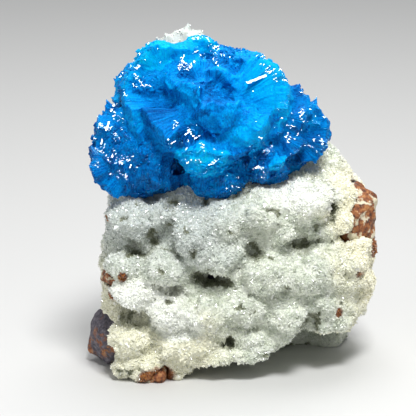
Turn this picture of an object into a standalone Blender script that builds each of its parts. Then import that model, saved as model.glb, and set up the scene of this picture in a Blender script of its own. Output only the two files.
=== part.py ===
"""A cavansite specimen: blue crystal fans on a pale druse crust that covers a block of basalt.

The specimen stands on its underside, with +Z up and the crystals facing -Y. Sizes in the tables
are millimetres, and MM turns them into the metres that Blender works in.
"""

import math
import random
from collections import namedtuple

import bmesh
import bpy
import numpy as np
from mathutils import Matrix, Vector, noise

MM = 0.001

# Fit between the pieces
GAP = 0.3
BASE_Z = 0.0

# One level of a rock body: its height, then its left, right, front and back limits
Level = namedtuple("Level", "z left right front back")

CRUST_LEVELS = (
    Level(-2.0, -16.4, 14.2, -12.2, 6.0),
    Level(3.0, -17.4, 15.8, -12.8, 8.0),
    Level(8.0, -18.2, 18.2, -11.9, 9.0),
    Level(13.0, -18.0, 19.6, -11.6, 9.5),
    Level(18.0, -17.6, 19.6, -11.3, 9.0),
    Level(22.0, -17.2, 19.0, -10.9, 8.5),
    Level(25.0, -16.6, 17.5, -9.0, 8.5),
    Level(28.0, -15.6, 15.2, -5.5, 8.0),
    Level(31.0, -14.4, 12.6, -2.5, 7.8),
    Level(35.0, -12.8, 7.8, -1.0, 7.5),
    Level(39.0, -11.2, 2.6, -0.4, 7.0),
    Level(43.0, -9.6, -2.2, 0.2, 6.4),
    Level(45.6, -8.2, -4.4, 1.4, 4.8),
)

BASALT_LEVELS = (
    Level(-2.0, -15.6, 13.6, -6.6, 12.4),
    Level(3.0, -17.0, 15.0, -8.2, 14.6),
    Level(8.0, -17.4, 17.0, -8.2, 15.4),
    Level(13.0, -17.2, 18.6, -7.8, 15.2),
    Level(18.0, -16.8, 18.8, -7.4, 14.8),
    Level(22.0, -16.2, 18.4, -7.0, 14.3),
    Level(25.0, -15.2, 16.6, -4.6, 13.8),
    Level(28.0, -14.0, 14.6, 0.0, 13.0),
    Level(31.0, -12.8, 12.0, 2.6, 12.3),
    Level(35.0, -11.2, 6.8, 3.8, 11.3),
    Level(39.0, -9.6, 1.6, 4.4, 9.8),
    Level(42.0, -8.0, -2.6, 5.2, 8.4),
)

# A rounded feature: its middle and its half sizes
Lump = namedtuple("Lump", "x y z rx ry rz")

CRUST_LUMPS = (
    # Upper left: a broad knob and the smooth ball beside it
    Lump(-13.6, -10.0, 22.4, 3.4, 3.2, 2.6),
    Lump(-5.8, -11.4, 21.0, 2.4, 2.8, 2.6),
    Lump(-9.2, -10.2, 23.8, 2.2, 2.4, 1.8),
    Lump(-3.2, -11.4, 18.2, 3.4, 2.9, 3.0),
    # The overhanging mass above the niche
    Lump(-1.6, -11.2, 22.6, 3.0, 2.8, 2.6),
    Lump(-9.4, -11.8, 16.2, 2.7, 2.6, 2.3),
    Lump(-14.6, -10.8, 16.4, 2.6, 2.4, 1.8),
    # Upper right: the bulge over the long undercut
    Lump(4.4, -10.4, 23.8, 3.6, 3.4, 2.7),
    Lump(9.8, -9.0, 24.4, 3.8, 3.5, 3.0),
    Lump(14.4, -5.4, 24.2, 2.8, 3.0, 2.8),
    Lump(6.6, -11.8, 20.6, 1.3, 1.6, 1.3),
    # The band across the right half
    Lump(4.6, -11.6, 15.4, 3.6, 3.1, 2.4),
    Lump(10.6, -10.2, 15.0, 3.8, 3.4, 2.9),
    Lump(15.4, -6.8, 14.4, 3.4, 3.4, 3.2),
    Lump(16.2, -3.8, 9.0, 2.6, 3.4, 3.0),
    # The white shoulder at the lower left, and the lumps beside and below it
    Lump(-13.4, -11.4, 12.6, 3.8, 2.9, 2.0),
    Lump(-8.8, -12.0, 9.8, 2.8, 2.6, 2.5),
    Lump(-14.0, -11.0, 6.0, 3.0, 2.8, 2.3),
    Lump(-8.4, -11.6, 5.2, 2.3, 2.6, 2.1),
    Lump(-3.6, -11.8, 9.6, 2.5, 2.6, 3.0),
    Lump(-4.8, -11.2, 5.2, 2.0, 2.4, 1.6),
    Lump(1.6, -11.8, 10.4, 2.7, 2.8, 2.2),
    Lump(2.8, -10.8, 5.8, 2.6, 2.6, 1.7),
    Lump(7.0, -10.8, 9.2, 2.7, 2.9, 2.3),
    Lump(12.6, -8.2, 9.9, 2.8, 3.0, 2.0),
    # The toe and the right foot
    Lump(-12.2, -10.8, 1.6, 4.6, 2.9, 2.2),
    Lump(13.4, 6.2, 1.2, 3.2, 3.6, 2.8),
    # The white peak behind the crystals
    Lump(-6.5, 2.4, 44.8, 1.8, 1.8, 2.2),
    Lump(-9.2, 2.6, 44.0, 1.8, 1.8, 1.8),
    Lump(-4.2, 2.4, 43.8, 1.6, 1.6, 1.3),
    # Tongues that reach round the sides and over the back of the rock
    Lump(15.2, 6.0, 15.4, 3.2, 5.0, 3.8),
    Lump(13.2, 6.6, 24.6, 2.6, 4.0, 2.6),
    Lump(-13.0, 6.0, 20.6, 2.6, 4.4, 5.0),
    Lump(-13.8, 5.0, 8.2, 2.6, 4.4, 2.6),
    Lump(-5.0, 6.0, 37.4, 4.4, 3.4, 4.4),
)

CRUST_PITS = (
    # Dark cavities under the crystals
    Lump(-8.4, -10.8, 26.0, 1.9, 3.6, 1.9),
    Lump(-3.9, -10.0, 26.4, 1.1, 2.6, 1.5),
    # The round pit and the undercut line at the upper left
    Lump(-10.6, -12.8, 20.0, 1.5, 3.2, 1.4),
    Lump(-13.8, -13.2, 18.7, 3.0, 3.0, 0.8),
    # The niche under the overhanging mass
    Lump(-2.8, -13.2, 14.3, 3.4, 4.6, 1.3),
    # Crevices at the middle and the undercut of the right half
    Lump(2.2, -13.2, 18.4, 1.7, 3.0, 1.5),
    Lump(9.8, -12.2, 19.4, 4.2, 4.2, 1.4),
    Lump(15.8, -8.0, 19.6, 2.4, 3.2, 1.3),
    Lump(13.2, -9.0, 22.8, 0.8, 2.4, 2.0),
    # The oval pit in the white shoulder
    Lump(-14.4, -13.8, 9.7, 1.7, 3.0, 1.1),
    # Notches along the lower edge
    Lump(-0.8, -13.2, 5.4, 1.3, 3.0, 1.6),
    Lump(9.8, -11.0, 6.8, 1.8, 3.8, 2.0),
    # Openings onto the rock: the toe, and the right edge with the spot below it
    Lump(-10.4, -14.8, 0.8, 2.5, 1.9, 1.6),
    Lump(19.4, -8.6, 21.4, 3.2, 3.8, 4.3),
    Lump(18.0, -9.4, 14.2, 1.1, 2.6, 1.2),
)

# The arch of the underside, the undercut above the right foot and the hollow behind the toe
HOLLOWS = (
    Lump(1.6, -12.5, -1.4, 9.4, 18.0, 4.6),
    Lump(11.6, -7.6, 1.2, 9.2, 11.0, 5.2),
    Lump(-12.0, -1.0, -1.0, 3.4, 4.6, 2.6),
)

BASALT_LUMPS = (
    # The bare block at the lower left, and the sliver above it
    Lump(-16.6, -3.2, 4.0, 4.1, 6.2, 5.1),
    Lump(-15.8, -3.6, 12.9, 3.3, 5.2, 2.3),
    # The stained patch in the toe
    Lump(-10.6, -8.2, 1.0, 3.2, 6.1, 2.7),
    # The stained patch on the right edge, and the spot below it
    Lump(16.2, -2.6, 21.3, 4.1, 5.7, 5.3),
    Lump(15.2, -4.0, 14.2, 3.9, 4.8, 2.1),
)

# Steps where the back of the rock broke: the middle and the size of the block that is gone, and
# how it is turned about the vertical and tilted, in degrees
Step = namedtuple("Step", "x y z width depth height turn tilt")

STEPS = (
    Step(-9.5, 15.0, 30.0, 18.0, 9.0, 22.0, 16.0, -14.0),
    Step(11.0, 15.4, 5.0, 16.0, 9.0, 13.0, -20.0, 10.0),
    Step(8.0, 14.6, 29.0, 14.0, 9.0, 12.0, -28.0, -16.0),
    Step(-15.0, 14.6, 10.0, 11.0, 9.0, 14.0, 34.0, 5.0),
)

# A fan of crystals: where it grows from, where it points, its length, how far it spreads in
# degrees, how many cells its blades have along an edge of a cube, how steep the tips are, and how
# thick it is from front to back as a share of its width
Fan = namedtuple("Fan", "apex axis reach spread cells tip flat")

FANS = (
    # Left lobe with the glittering end, and the small-faceted lobe above it
    Fan((-11.6, -4.9, 31.2), (-0.8, -0.58, 0.04), 8.4, 84, 6, 0.16, 1.00),
    Fan((-10.8, -1.9, 37.8), (-0.7, -0.42, 0.37), 6.0, 78, 4, 0.30, 1.00),
    # Flat matte fans along the top left
    Fan((-9.0, -6.4, 41.7), (-0.54, -0.01, 0.81), 5.2, 48, 6, 0.10, 0.36),
    Fan((-6.8, -6.0, 41.9), (-0.02, 0.08, 0.98), 4.4, 40, 5, 0.12, 0.40),
    Fan((-7.3, -5.8, 40.5), (-0.1, -0.87, 0.44), 3.6, 80, 4, 0.22, 1.00),
    Fan((-11.7, -4.8, 39.6), (-0.35, -0.77, 0.52), 4.4, 80, 4, 0.26, 1.00),
    # Striated sheaf and the sparkling fans along the top right
    Fan((-5.0, -4.2, 42.7), (0.25, 0.1, 0.96), 4.3, 42, 5, 0.12, 0.40),
    Fan((-1.2, -4.2, 40.8), (0.05, -0.15, 0.97), 4.6, 62, 4, 0.22, 1.00),
    Fan((0.8, -5.0, 40.5), (0.5, -0.03, 0.84), 4.9, 50, 5, 0.16, 0.45),
    # Middle, and the lobe beside it
    Fan((-3.9, -6.7, 36.6), (-0.05, -0.97, 0.16), 6.2, 84, 5, 0.30, 1.00),
    Fan((-9.2, -6.5, 33.9), (-0.1, -0.95, 0.15), 5.5, 74, 4, 0.30, 1.00),
    # Wide bright fan at the right, and the lobes under it
    Fan((-1.2, -9.4, 38.1), (0.93, 0.18, 0.3), 9.4, 41, 8, 0.08, 0.32),
    Fan((1.4, -9.3, 35.1), (0.1, -0.9, 0.29), 4.1, 82, 4, 0.14, 1.00),
    Fan((4.0, -7.6, 35.9), (0.45, -0.8, 0.32), 3.8, 80, 4, 0.16, 1.00),
    # Blocky wedge at the bottom, and the blades below it
    Fan((-4.0, -9.2, 34.0), (-0.02, -0.77, -0.62), 6.0, 48, 5, 0.08, 0.50),
    Fan((-2.5, -6.5, 29.9), (0.05, -0.44, -0.89), 5.8, 72, 5, 0.20, 1.00),
    # Right lobes with chisel tips
    Fan((6.2, -4.3, 34.9), (0.4, -0.82, 0.3), 5.2, 78, 5, 0.34, 1.00),
    Fan((8.8, -2.9, 33.2), (0.78, -0.48, 0.16), 4.8, 78, 5, 0.38, 1.00),
    # Lower right, the small light fan and the shadowed underside of the left lobe
    Fan((3.5, -6.1, 31.2), (0.35, -0.61, -0.66), 5.2, 76, 5, 0.26, 1.00),
    Fan((7.2, -3.5, 31.2), (0.42, -0.52, -0.72), 4.0, 74, 4, 0.26, 1.00),
    Fan((5.7, -5.0, 30.3), (0.15, -0.65, -0.7), 2.6, 40, 3, 0.12, 0.60),
    Fan((-9.8, -5.3, 29.8), (0.1, -0.5, -0.86), 5.1, 74, 4, 0.20, 1.00),
    # Petals of the left half
    Fan((-5.9, -6.9, 41.6), (-0.62, -0.62, -0.48), 4.2, 44, 4, 0.20, 0.55),
    Fan((-8.4, -7.9, 38.1), (-0.88, -0.39, -0.27), 7.5, 30, 4, 0.14, 0.55),
    Fan((-9.0, -6.7, 38.9), (-0.99, 0.07, -0.13), 6.6, 28, 4, 0.14, 0.55),
    Fan((-5.4, -10.4, 37.9), (-0.81, -0.35, -0.46), 7.1, 27, 4, 0.16, 0.60),
    Fan((-5.1, -11.0, 36.1), (-0.69, -0.26, -0.68), 4.0, 38, 3, 0.20, 0.60),
    Fan((-11.5, -7.3, 39.4), (-0.79, 0.21, 0.57), 4.5, 36, 4, 0.24, 0.60),
    Fan((-11.2, -7.1, 40.5), (-0.63, 0.3, 0.72), 3.9, 34, 4, 0.24, 0.60),
    Fan((-12.8, -9.8, 34.6), (-0.91, 0.42, 0.03), 6.1, 34, 4, 0.20, 0.60),
    Fan((-13.4, -10.8, 31.2), (-0.8, 0.36, -0.49), 6.6, 36, 4, 0.14, 0.60),
    # Petals of the middle
    Fan((-4.1, -9.0, 40.7), (-0.57, -0.75, -0.35), 4.1, 42, 3, 0.20, 0.60),
    Fan((-3.7, -10.1, 39.6), (0.23, -0.75, -0.62), 4.2, 40, 3, 0.24, 0.60),
    Fan((-2.9, -9.1, 40.4), (0.6, 0.13, 0.79), 3.5, 38, 4, 0.20, 0.60),
    Fan((-4.4, -8.6, 40.9), (-0.18, 0.76, 0.63), 3.8, 36, 3, 0.20, 0.60),
    Fan((-2.3, -10.6, 38.2), (0.69, -0.65, -0.33), 4.0, 38, 3, 0.20, 0.60),
    # Petals of the right half
    Fan((-0.1, -9.3, 37.9), (0.99, -0.01, 0.16), 6.2, 26, 4, 0.12, 0.55),
    Fan((-0.7, -9.9, 37.1), (0.89, -0.29, -0.35), 6.3, 29, 4, 0.12, 0.60),
    Fan((-1.2, -10.5, 35.5), (0.63, -0.24, -0.73), 5.0, 34, 4, 0.14, 0.60),
    Fan((-2.9, -11.0, 35.8), (0.5, -0.18, -0.84), 3.8, 34, 3, 0.18, 0.60),
    Fan((4.8, -8.5, 38.0), (0.47, 0.81, 0.36), 5.0, 40, 4, 0.30, 0.60),
    Fan((5.4, -8.5, 37.7), (0.82, 0.57, 0.08), 5.6, 32, 4, 0.30, 0.60),
    Fan((5.9, -9.0, 36.4), (0.96, 0.23, -0.13), 4.3, 32, 4, 0.30, 0.60),
    Fan((8.1, -7.1, 35.6), (0.77, 0.59, 0.26), 4.5, 36, 4, 0.34, 0.60),
    Fan((9.0, -6.8, 34.4), (0.84, 0.52, -0.14), 5.1, 36, 4, 0.34, 0.60),
    Fan((7.9, -7.3, 33.5), (0.77, 0.34, -0.53), 5.2, 34, 4, 0.30, 0.60),
    Fan((5.7, -9.1, 34.4), (0.68, 0.31, -0.66), 4.4, 34, 4, 0.28, 0.60),
)

# Triangles that each piece keeps once its surface is thinned out
CRUST_TRIANGLES = 3700
BASALT_TRIANGLES = 1000
CLUSTER_TRIANGLES = 4350
GROUND_TRIANGLES = 1500
ROCK_ROOM_TRIANGLES = 900

# Pointed crystals on the peak: where each stands, and its height
PEAK_POINTS = (
    (-10.3, 2.2, 44.6, 1.6),
    (-9.2, 1.8, 45.2, 1.7),
    (-7.8, 2.2, 45.4, 1.9),
    (-6.4, 2.4, 46.2, 2.2),
    (-5.3, 2.0, 45.3, 1.8),
    (-4.0, 2.4, 44.5, 1.8),
    (-2.8, 2.8, 43.4, 1.8),
)
POINT_SEED = 21
# A pointed crystal's half width at its foot and at its tip, as shares of its height, and its lean
POINT_FOOT = 0.50
POINT_TIP = 0.14
POINT_LEAN = 0.4

# Flat faces where the back of the rock broke: how many, how deep, and how steeply they face
CHIPS = 20
CHIP_DEPTHS = (1.0, 4.4)
CHIP_RISES = (-0.5, 0.8)
CHIP_SEED = 5
# How uneven the angular blocks at the sides of the rock are, and the axis that they roll about
BLOCK_SHAKE = 0.16
BLOCK_ROLL_AXIS = (0.4, 1.0, 0.7)
BLOCK_SEED = 12

# Unevenness of each surface, as (period, height) pairs, and where its pattern starts
BASALT_RELIEF = ((8.0, 0.5), (2.6, 0.3))
BASALT_RELIEF_SEED = 3.1
CRUST_RELIEF = ((3.6, 1.0), (1.7, 0.55))
CRUST_RELIEF_SEED = 7.3

ROCK_VOXEL = 0.55
PIT_VOXEL = 0.3
FAN_VOXEL = 0.25
GROUND_VOXEL = 0.7
# How far a cutter stands off from what it makes room for, in gaps
ROOM_SWELL = 1.6
# How much crust lines the hollows of the underside
CRUST_LINING = 2.2
# How far out, as shares of a fan's length, its cap lies and the shape behind the cap, and how
# steeply the one falls to the other
FAN_CAP = 0.76
FAN_BACK = 0.36
FAN_FALL = 2.5
# How much shorter the crystals at a fan's rim are, how uneven their lengths are where tips are
# steep, how slim they are, and how far cell corners wander as a share of a cell
FAN_DROOP = 0.20
FAN_UNEVEN = 0.5
FAN_SLIMNESS = (0.88, 0.95)
FAN_WANDER = 0.28
# The directions that a fan is made along, and that flat fans face
FAN_AXIS = Vector((0.0, 0.0, 1.0))
FAN_FRONT = Vector((0.0, -0.966, 0.259))
FAN_SEED = 100

RING_SEGMENTS = 56
RING_STEP = 1.0
RING_SQUARENESS = 2.7


def clear_scene():
    """Removes the objects that Blender starts with."""
    for obj in list(bpy.data.objects):
        bpy.data.objects.remove(obj, do_unlink=True)


def material(name, colour, roughness, metallic=0.0):
    """A plain Principled BSDF material."""
    made = bpy.data.materials.new(name)
    made.use_nodes = True
    shader = made.node_tree.nodes["Principled BSDF"]
    shader.inputs["Base Color"].default_value = (*colour, 1.0)
    shader.inputs["Roughness"].default_value = roughness
    shader.inputs["Metallic"].default_value = metallic
    made.diffuse_color = (*colour, 1.0)
    return made


def object_from(name, bm):
    """A scene object that holds the mesh."""
    mesh = bpy.data.meshes.new(name)
    bm.to_mesh(mesh)
    bm.free()
    obj = bpy.data.objects.new(name, mesh)
    bpy.context.scene.collection.objects.link(obj)
    return obj


def apply_modifiers(obj):
    """Replaces the object's mesh with the one that its modifiers make."""
    bpy.context.view_layer.update()
    graph = bpy.context.evaluated_depsgraph_get()
    made = bpy.data.meshes.new_from_object(obj.evaluated_get(graph))
    obj.modifiers.clear()
    obj.data = made


def discard(obj):
    """Removes a helper that has done its work."""
    bpy.data.objects.remove(obj, do_unlink=True)


def remesh(obj, voxel):
    """Joins all closed shapes in the object into one even skin."""
    modifier = obj.modifiers.new("Join", "REMESH")
    modifier.mode = "VOXEL"
    modifier.voxel_size = voxel * MM
    apply_modifiers(obj)


def thin_out(obj, triangles):
    """Collapses edges until about this many triangles are left."""
    obj.data.calc_loop_triangles()
    modifier = obj.modifiers.new("Thin out", "DECIMATE")
    modifier.ratio = min(1.0, triangles / len(obj.data.loop_triangles))
    modifier.use_collapse_triangulate = True
    apply_modifiers(obj)


def combine(obj, other, operation):
    """Joins another object to this one, or cuts it away."""
    other.hide_render = True
    other.display_type = "WIRE"
    modifier = obj.modifiers.new(operation.title(), "BOOLEAN")
    modifier.operation = operation
    modifier.solver = "EXACT"
    modifier.object = other
    apply_modifiers(obj)
    discard(other)


def edit(obj, change):
    """Runs a change on the object's mesh."""
    bm = bmesh.new()
    bm.from_mesh(obj.data)
    change(bm)
    bm.to_mesh(obj.data)
    bm.free()


def add_ring_body(bm, levels):
    """A closed rounded body whose outline follows the levels."""
    heights = np.arange(levels[0].z, levels[-1].z + 0.5 * RING_STEP, RING_STEP)
    table = np.array(levels)
    limits = [np.interp(heights, table[:, 0], table[:, side]) for side in range(1, 5)]
    turns = np.linspace(0.0, 2.0 * math.pi, RING_SEGMENTS, endpoint=False)
    power = 2.0 / RING_SQUARENESS
    across = np.sign(np.cos(turns)) * np.abs(np.cos(turns)) ** power
    deep = np.sign(np.sin(turns)) * np.abs(np.sin(turns)) ** power
    rings = []
    for z, left, right, front, back in zip(heights, *limits):
        middle = Vector((left + right, front + back)) / 2.0
        half = Vector((right - left, back - front)) / 2.0
        points = [(middle.x + half.x * a, middle.y + half.y * d, z) for a, d in zip(across, deep)]
        rings.append([bm.verts.new(Vector(point) * MM) for point in points])
    for low, high in zip(rings, rings[1:]):
        for i in range(RING_SEGMENTS):
            j = (i + 1) % RING_SEGMENTS
            bm.faces.new((low[i], low[j], high[j], high[i]))
    bm.faces.new(rings[0][::-1])
    bm.faces.new(rings[-1])


def add_lump(bm, lump):
    """A rounded closed lump."""
    place = Matrix.Translation(Vector((lump.x, lump.y, lump.z)) * MM)
    size = Matrix.Diagonal((lump.rx * MM, lump.ry * MM, lump.rz * MM, 1.0))
    bmesh.ops.create_icosphere(bm, subdivisions=3, radius=1.0, matrix=place @ size)


def add_block(bm, lump, rng):
    """A closed angular block that fills out the lump."""
    made = bmesh.ops.create_icosphere(bm, subdivisions=1, radius=1.0)
    roll = Matrix.Rotation(rng.uniform(0.0, math.pi), 3, Vector(BLOCK_ROLL_AXIS))
    for vert in made["verts"]:
        x, y, z = roll @ vert.co * rng.uniform(1.0 - BLOCK_SHAKE, 1.0 + BLOCK_SHAKE)
        vert.co = Vector((lump.x + lump.rx * x, lump.y + lump.ry * y, lump.z + lump.rz * z)) * MM


def cut_flat(bm, point, normal):
    """Cuts away what lies past a plane, and closes the cut with a flat face."""
    found = bmesh.ops.bisect_plane(
        bm,
        geom=bm.verts[:] + bm.edges[:] + bm.faces[:],
        plane_co=point,
        plane_no=normal,
        clear_outer=True,
    )
    edges = [item for item in found["geom_cut"] if isinstance(item, bmesh.types.BMEdge)]
    bmesh.ops.holes_fill(bm, edges=edges, sides=0)
    bmesh.ops.recalc_face_normals(bm, faces=bm.faces[:])
    if bm.calc_volume(signed=True) < 0.0:
        bmesh.ops.reverse_faces(bm, faces=bm.faces[:])


def chip(bm):
    """Breaks flat faces from the back of a rounded rock, along planes a little under its surface."""
    rng = random.Random(CHIP_SEED)
    rounded = [vert.co.copy() for vert in bm.verts]
    for _ in range(CHIPS):
        turn = rng.uniform(0.0, math.pi)
        rise = rng.uniform(*CHIP_RISES)
        flat = math.sqrt(1.0 - rise * rise)
        normal = Vector((flat * math.cos(turn), flat * math.sin(turn), rise))
        furthest = max(point.dot(normal) for point in rounded)
        cut_flat(bm, normal * (furthest - rng.uniform(*CHIP_DEPTHS) * MM), normal)


def hollows(name, lumps, growth=0.0):
    """A cutter in the shape of every lump, each grown by this much all round."""
    bm = bmesh.new()
    for lump in lumps:
        add_lump(bm, lump._replace(rx=lump.rx + growth, ry=lump.ry + growth, rz=lump.rz + growth))
    cutter = object_from(name, bm)
    remesh(cutter, PIT_VOXEL)
    return cutter


def roughen(obj, layers, seed):
    """Pushes the surface in and out. Each layer is a (period, height) pair."""
    shift = Vector((seed, 2.0 * seed, 3.0 * seed))

    def push(bm):
        bm.normal_update()
        moves = []
        for vert in bm.verts:
            at = vert.co / MM
            height = sum(tall * noise.noise(at / period + shift) for period, tall in layers)
            moves.append(vert.normal * height * MM)
        for vert, move in zip(bm.verts, moves):
            vert.co += move

    edit(obj, push)


def stand_on_base(obj):
    """Cuts the body flat at the height that it stands on."""
    edit(obj, lambda bm: cut_flat(bm, (0.0, 0.0, BASE_Z * MM), (0.0, 0.0, -1.0)))


def swell(obj, distance):
    """Moves the whole surface outwards by this distance."""

    def push(bm):
        bm.normal_update()
        moves = [vert.normal * vert.calc_shell_factor() for vert in bm.verts]
        for vert, move in zip(bm.verts, moves):
            vert.co += move * distance * MM

    edit(obj, push)


def keep_outer_shell(obj):
    """Keeps the largest shell, without specks that a cut left loose and without closed hollows."""

    def keep(bm):
        bm.verts.ensure_lookup_table()
        seen = set()
        shells = []
        for start in bm.verts:
            if start.index in seen:
                continue
            shell = []
            waiting = [start]
            seen.add(start.index)
            while waiting:
                vert = waiting.pop()
                shell.append(vert)
                for edge in vert.link_edges:
                    other = edge.other_vert(vert)
                    if other.index not in seen:
                        seen.add(other.index)
                        waiting.append(other)
            shells.append(shell)
        shells.sort(key=len)
        for shell in shells[:-1]:
            bmesh.ops.delete(bm, geom=shell, context="VERTS")

    edit(obj, keep)


def break_off(rock, step):
    """Cuts a block-shaped step into the rock."""
    bm = bmesh.new()
    turn = Matrix.Rotation(math.radians(step.turn), 4, "Z")
    tilt = Matrix.Rotation(math.radians(step.tilt), 4, "X")
    size = Matrix.Diagonal((step.width * MM, step.depth * MM, step.height * MM, 1.0))
    place = Matrix.Translation(Vector((step.x, step.y, step.z)) * MM)
    bmesh.ops.create_cube(bm, size=1.0, matrix=place @ turn @ tilt @ size)
    combine(rock, object_from("step", bm), "DIFFERENCE")


def make_basalt():
    """The host rock, with flat broken faces and a flat underside."""
    bm = bmesh.new()
    add_ring_body(bm, BASALT_LEVELS)
    chip(bm)
    rng = random.Random(BLOCK_SEED)
    for lump in BASALT_LUMPS:
        add_block(bm, lump, rng)
    basalt = object_from("basalt_matrix", bm)
    remesh(basalt, ROCK_VOXEL)
    combine(basalt, hollows("underside", HOLLOWS, CRUST_LINING), "DIFFERENCE")
    for step in STEPS:
        break_off(basalt, step)
    remesh(basalt, ROCK_VOXEL)
    roughen(basalt, BASALT_RELIEF, BASALT_RELIEF_SEED)
    thin_out(basalt, BASALT_TRIANGLES)
    stand_on_base(basalt)
    keep_outer_shell(basalt)
    return basalt


def add_peak_points(crust):
    """Sets small pointed crystals along the crest of the peak."""
    rng = random.Random(POINT_SEED)
    for x, y, z, height in PEAK_POINTS:
        bm = bmesh.new()
        lean = [rng.uniform(-POINT_LEAN, POINT_LEAN) for _ in range(2)]
        turn = Vector((*lean, 1.0)).to_track_quat("Z", "X")
        place = Matrix.Translation(Vector((x, y, z)) * MM) @ turn.to_matrix().to_4x4()
        bmesh.ops.create_cone(
            bm,
            cap_ends=True,
            segments=4,
            radius1=POINT_FOOT * height * MM,
            radius2=POINT_TIP * height * MM,
            depth=height * MM,
            matrix=place,
        )
        combine(crust, object_from("peak_point", bm), "UNION")


def make_crust():
    """The pale crust before the rock is cut out of it."""
    bm = bmesh.new()
    add_ring_body(bm, CRUST_LEVELS)
    for lump in CRUST_LUMPS:
        add_lump(bm, lump)
    crust = object_from("zeolite_crust", bm)
    remesh(crust, ROCK_VOXEL)
    combine(crust, hollows("pits", CRUST_PITS + HOLLOWS), "DIFFERENCE")
    remesh(crust, ROCK_VOXEL)
    roughen(crust, CRUST_RELIEF, CRUST_RELIEF_SEED)
    thin_out(crust, CRUST_TRIANGLES)
    add_peak_points(crust)
    stand_on_base(crust)
    return crust


def room_for(objects, voxel, triangles):
    """The shape of the objects together, swollen past the gap, to cut from what meets them."""
    bm = bmesh.new()
    for obj in objects:
        bm.from_mesh(obj.data)
    room = object_from("room", bm)
    remesh(room, voxel)
    swell(room, ROOM_SWELL * GAP)
    remesh(room, voxel)
    thin_out(room, triangles)
    return room


def grow_fan(cluster, fan, seed):
    """Adds a fan: a cap around its apex, with each cell facing the axis drawn out as a crystal."""
    rng = random.Random(seed)
    axis = Vector(fan.axis).normalized()
    roll = Matrix.Rotation(rng.uniform(0.0, math.pi), 3, "Z")
    turn = FAN_AXIS.rotation_difference(axis).to_matrix() @ roll
    front = turn.transposed() @ (FAN_FRONT - axis * FAN_FRONT.dot(axis))
    squeeze = Matrix.Scale(fan.flat, 3, front.normalized())
    loosen = squeeze.inverted()
    bm = bmesh.new()
    bmesh.ops.create_cube(bm, size=2.0)
    bmesh.ops.subdivide_edges(bm, edges=bm.edges[:], cuts=fan.cells - 1, use_grid_fill=True)
    wander = FAN_WANDER / fan.cells
    widest = math.radians(fan.spread)
    for vert in bm.verts:
        shake = Vector([rng.uniform(-wander, wander) for _ in range(3)])
        ray = vert.co.normalized() + shake
        past = max(0.0, ray.angle(FAN_AXIS) / widest - 1.0)
        share = max(FAN_BACK * fan.flat, FAN_CAP - FAN_FALL * past)
        vert.co = (squeeze @ ray).normalized() * fan.reach * share
    bm.normal_update()
    facing = []
    for face in bm.faces:
        if (loosen @ face.calc_center_median()).angle(FAN_AXIS) < widest:
            facing.append(face)
    crystals = bmesh.ops.extrude_discrete_faces(bm, faces=facing)["faces"]
    for face in crystals:
        middle = face.calc_center_median().normalized()
        off_axis = middle.angle(FAN_AXIS) / widest
        shorter = FAN_UNEVEN * fan.tip * rng.random()
        length = fan.reach * (1.0 - FAN_DROOP * off_axis**2) * (1.0 - shorter)
        lean = Vector([rng.uniform(-fan.tip, fan.tip) for _ in range(3)])
        tip_normal = (middle + lean).normalized()
        slim = rng.uniform(*FAN_SLIMNESS)
        for vert in face.verts:
            ray = middle.lerp(vert.co.normalized(), slim).normalized()
            vert.co = ray * length * middle.dot(tip_normal) / ray.dot(tip_normal)
    place = Matrix.Translation(Vector(fan.apex) * MM)
    bm.transform(place @ turn.to_4x4() @ Matrix.Scale(MM, 4))
    bmesh.ops.recalc_face_normals(bm, faces=bm.faces[:])
    mesh = bpy.data.meshes.new("fan")
    bm.to_mesh(mesh)
    bm.free()
    cluster.from_mesh(mesh)
    bpy.data.meshes.remove(mesh)


def make_cluster(ground):
    """All fans grown together, and cut off where they stand on the crust."""
    bm = bmesh.new()
    for number, fan in enumerate(FANS):
        grow_fan(bm, fan, FAN_SEED + number)
    cluster = object_from("cavansite_cluster", bm)
    remesh(cluster, FAN_VOXEL)
    combine(cluster, ground, "DIFFERENCE")
    keep_outer_shell(cluster)
    thin_out(cluster, CLUSTER_TRIANGLES)
    return cluster


def finish(obj, parent, look):
    """Gives the piece its material and puts it under the specimen's empty."""
    obj.data.materials.clear()
    obj.data.materials.append(look)
    obj.parent = parent


def main():
    clear_scene()
    specimen = bpy.data.objects.new("specimen", None)
    bpy.context.scene.collection.objects.link(specimen)
    basalt = make_basalt()
    crust = make_crust()
    cluster = make_cluster(room_for((crust, basalt), GROUND_VOXEL, GROUND_TRIANGLES))
    combine(crust, room_for((basalt,), ROCK_VOXEL, ROCK_ROOM_TRIANGLES), "DIFFERENCE")
    keep_outer_shell(crust)
    finish(basalt, specimen, material("basalt", (0.060, 0.052, 0.060), 0.75))
    finish(crust, specimen, material("zeolite", (0.60, 0.63, 0.52), 0.45))
    finish(cluster, specimen, material("cavansite", (0.004, 0.150, 0.560), 0.30))


main()
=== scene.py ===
"""Dresses the cavansite specimen for its picture: bladed fans, druse crust and broken rock."""

import math
import random
from collections import namedtuple

import bmesh
import bpy
import numpy as np
from mathutils import Matrix, Vector, noise
from mathutils.bvhtree import BVHTree


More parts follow.
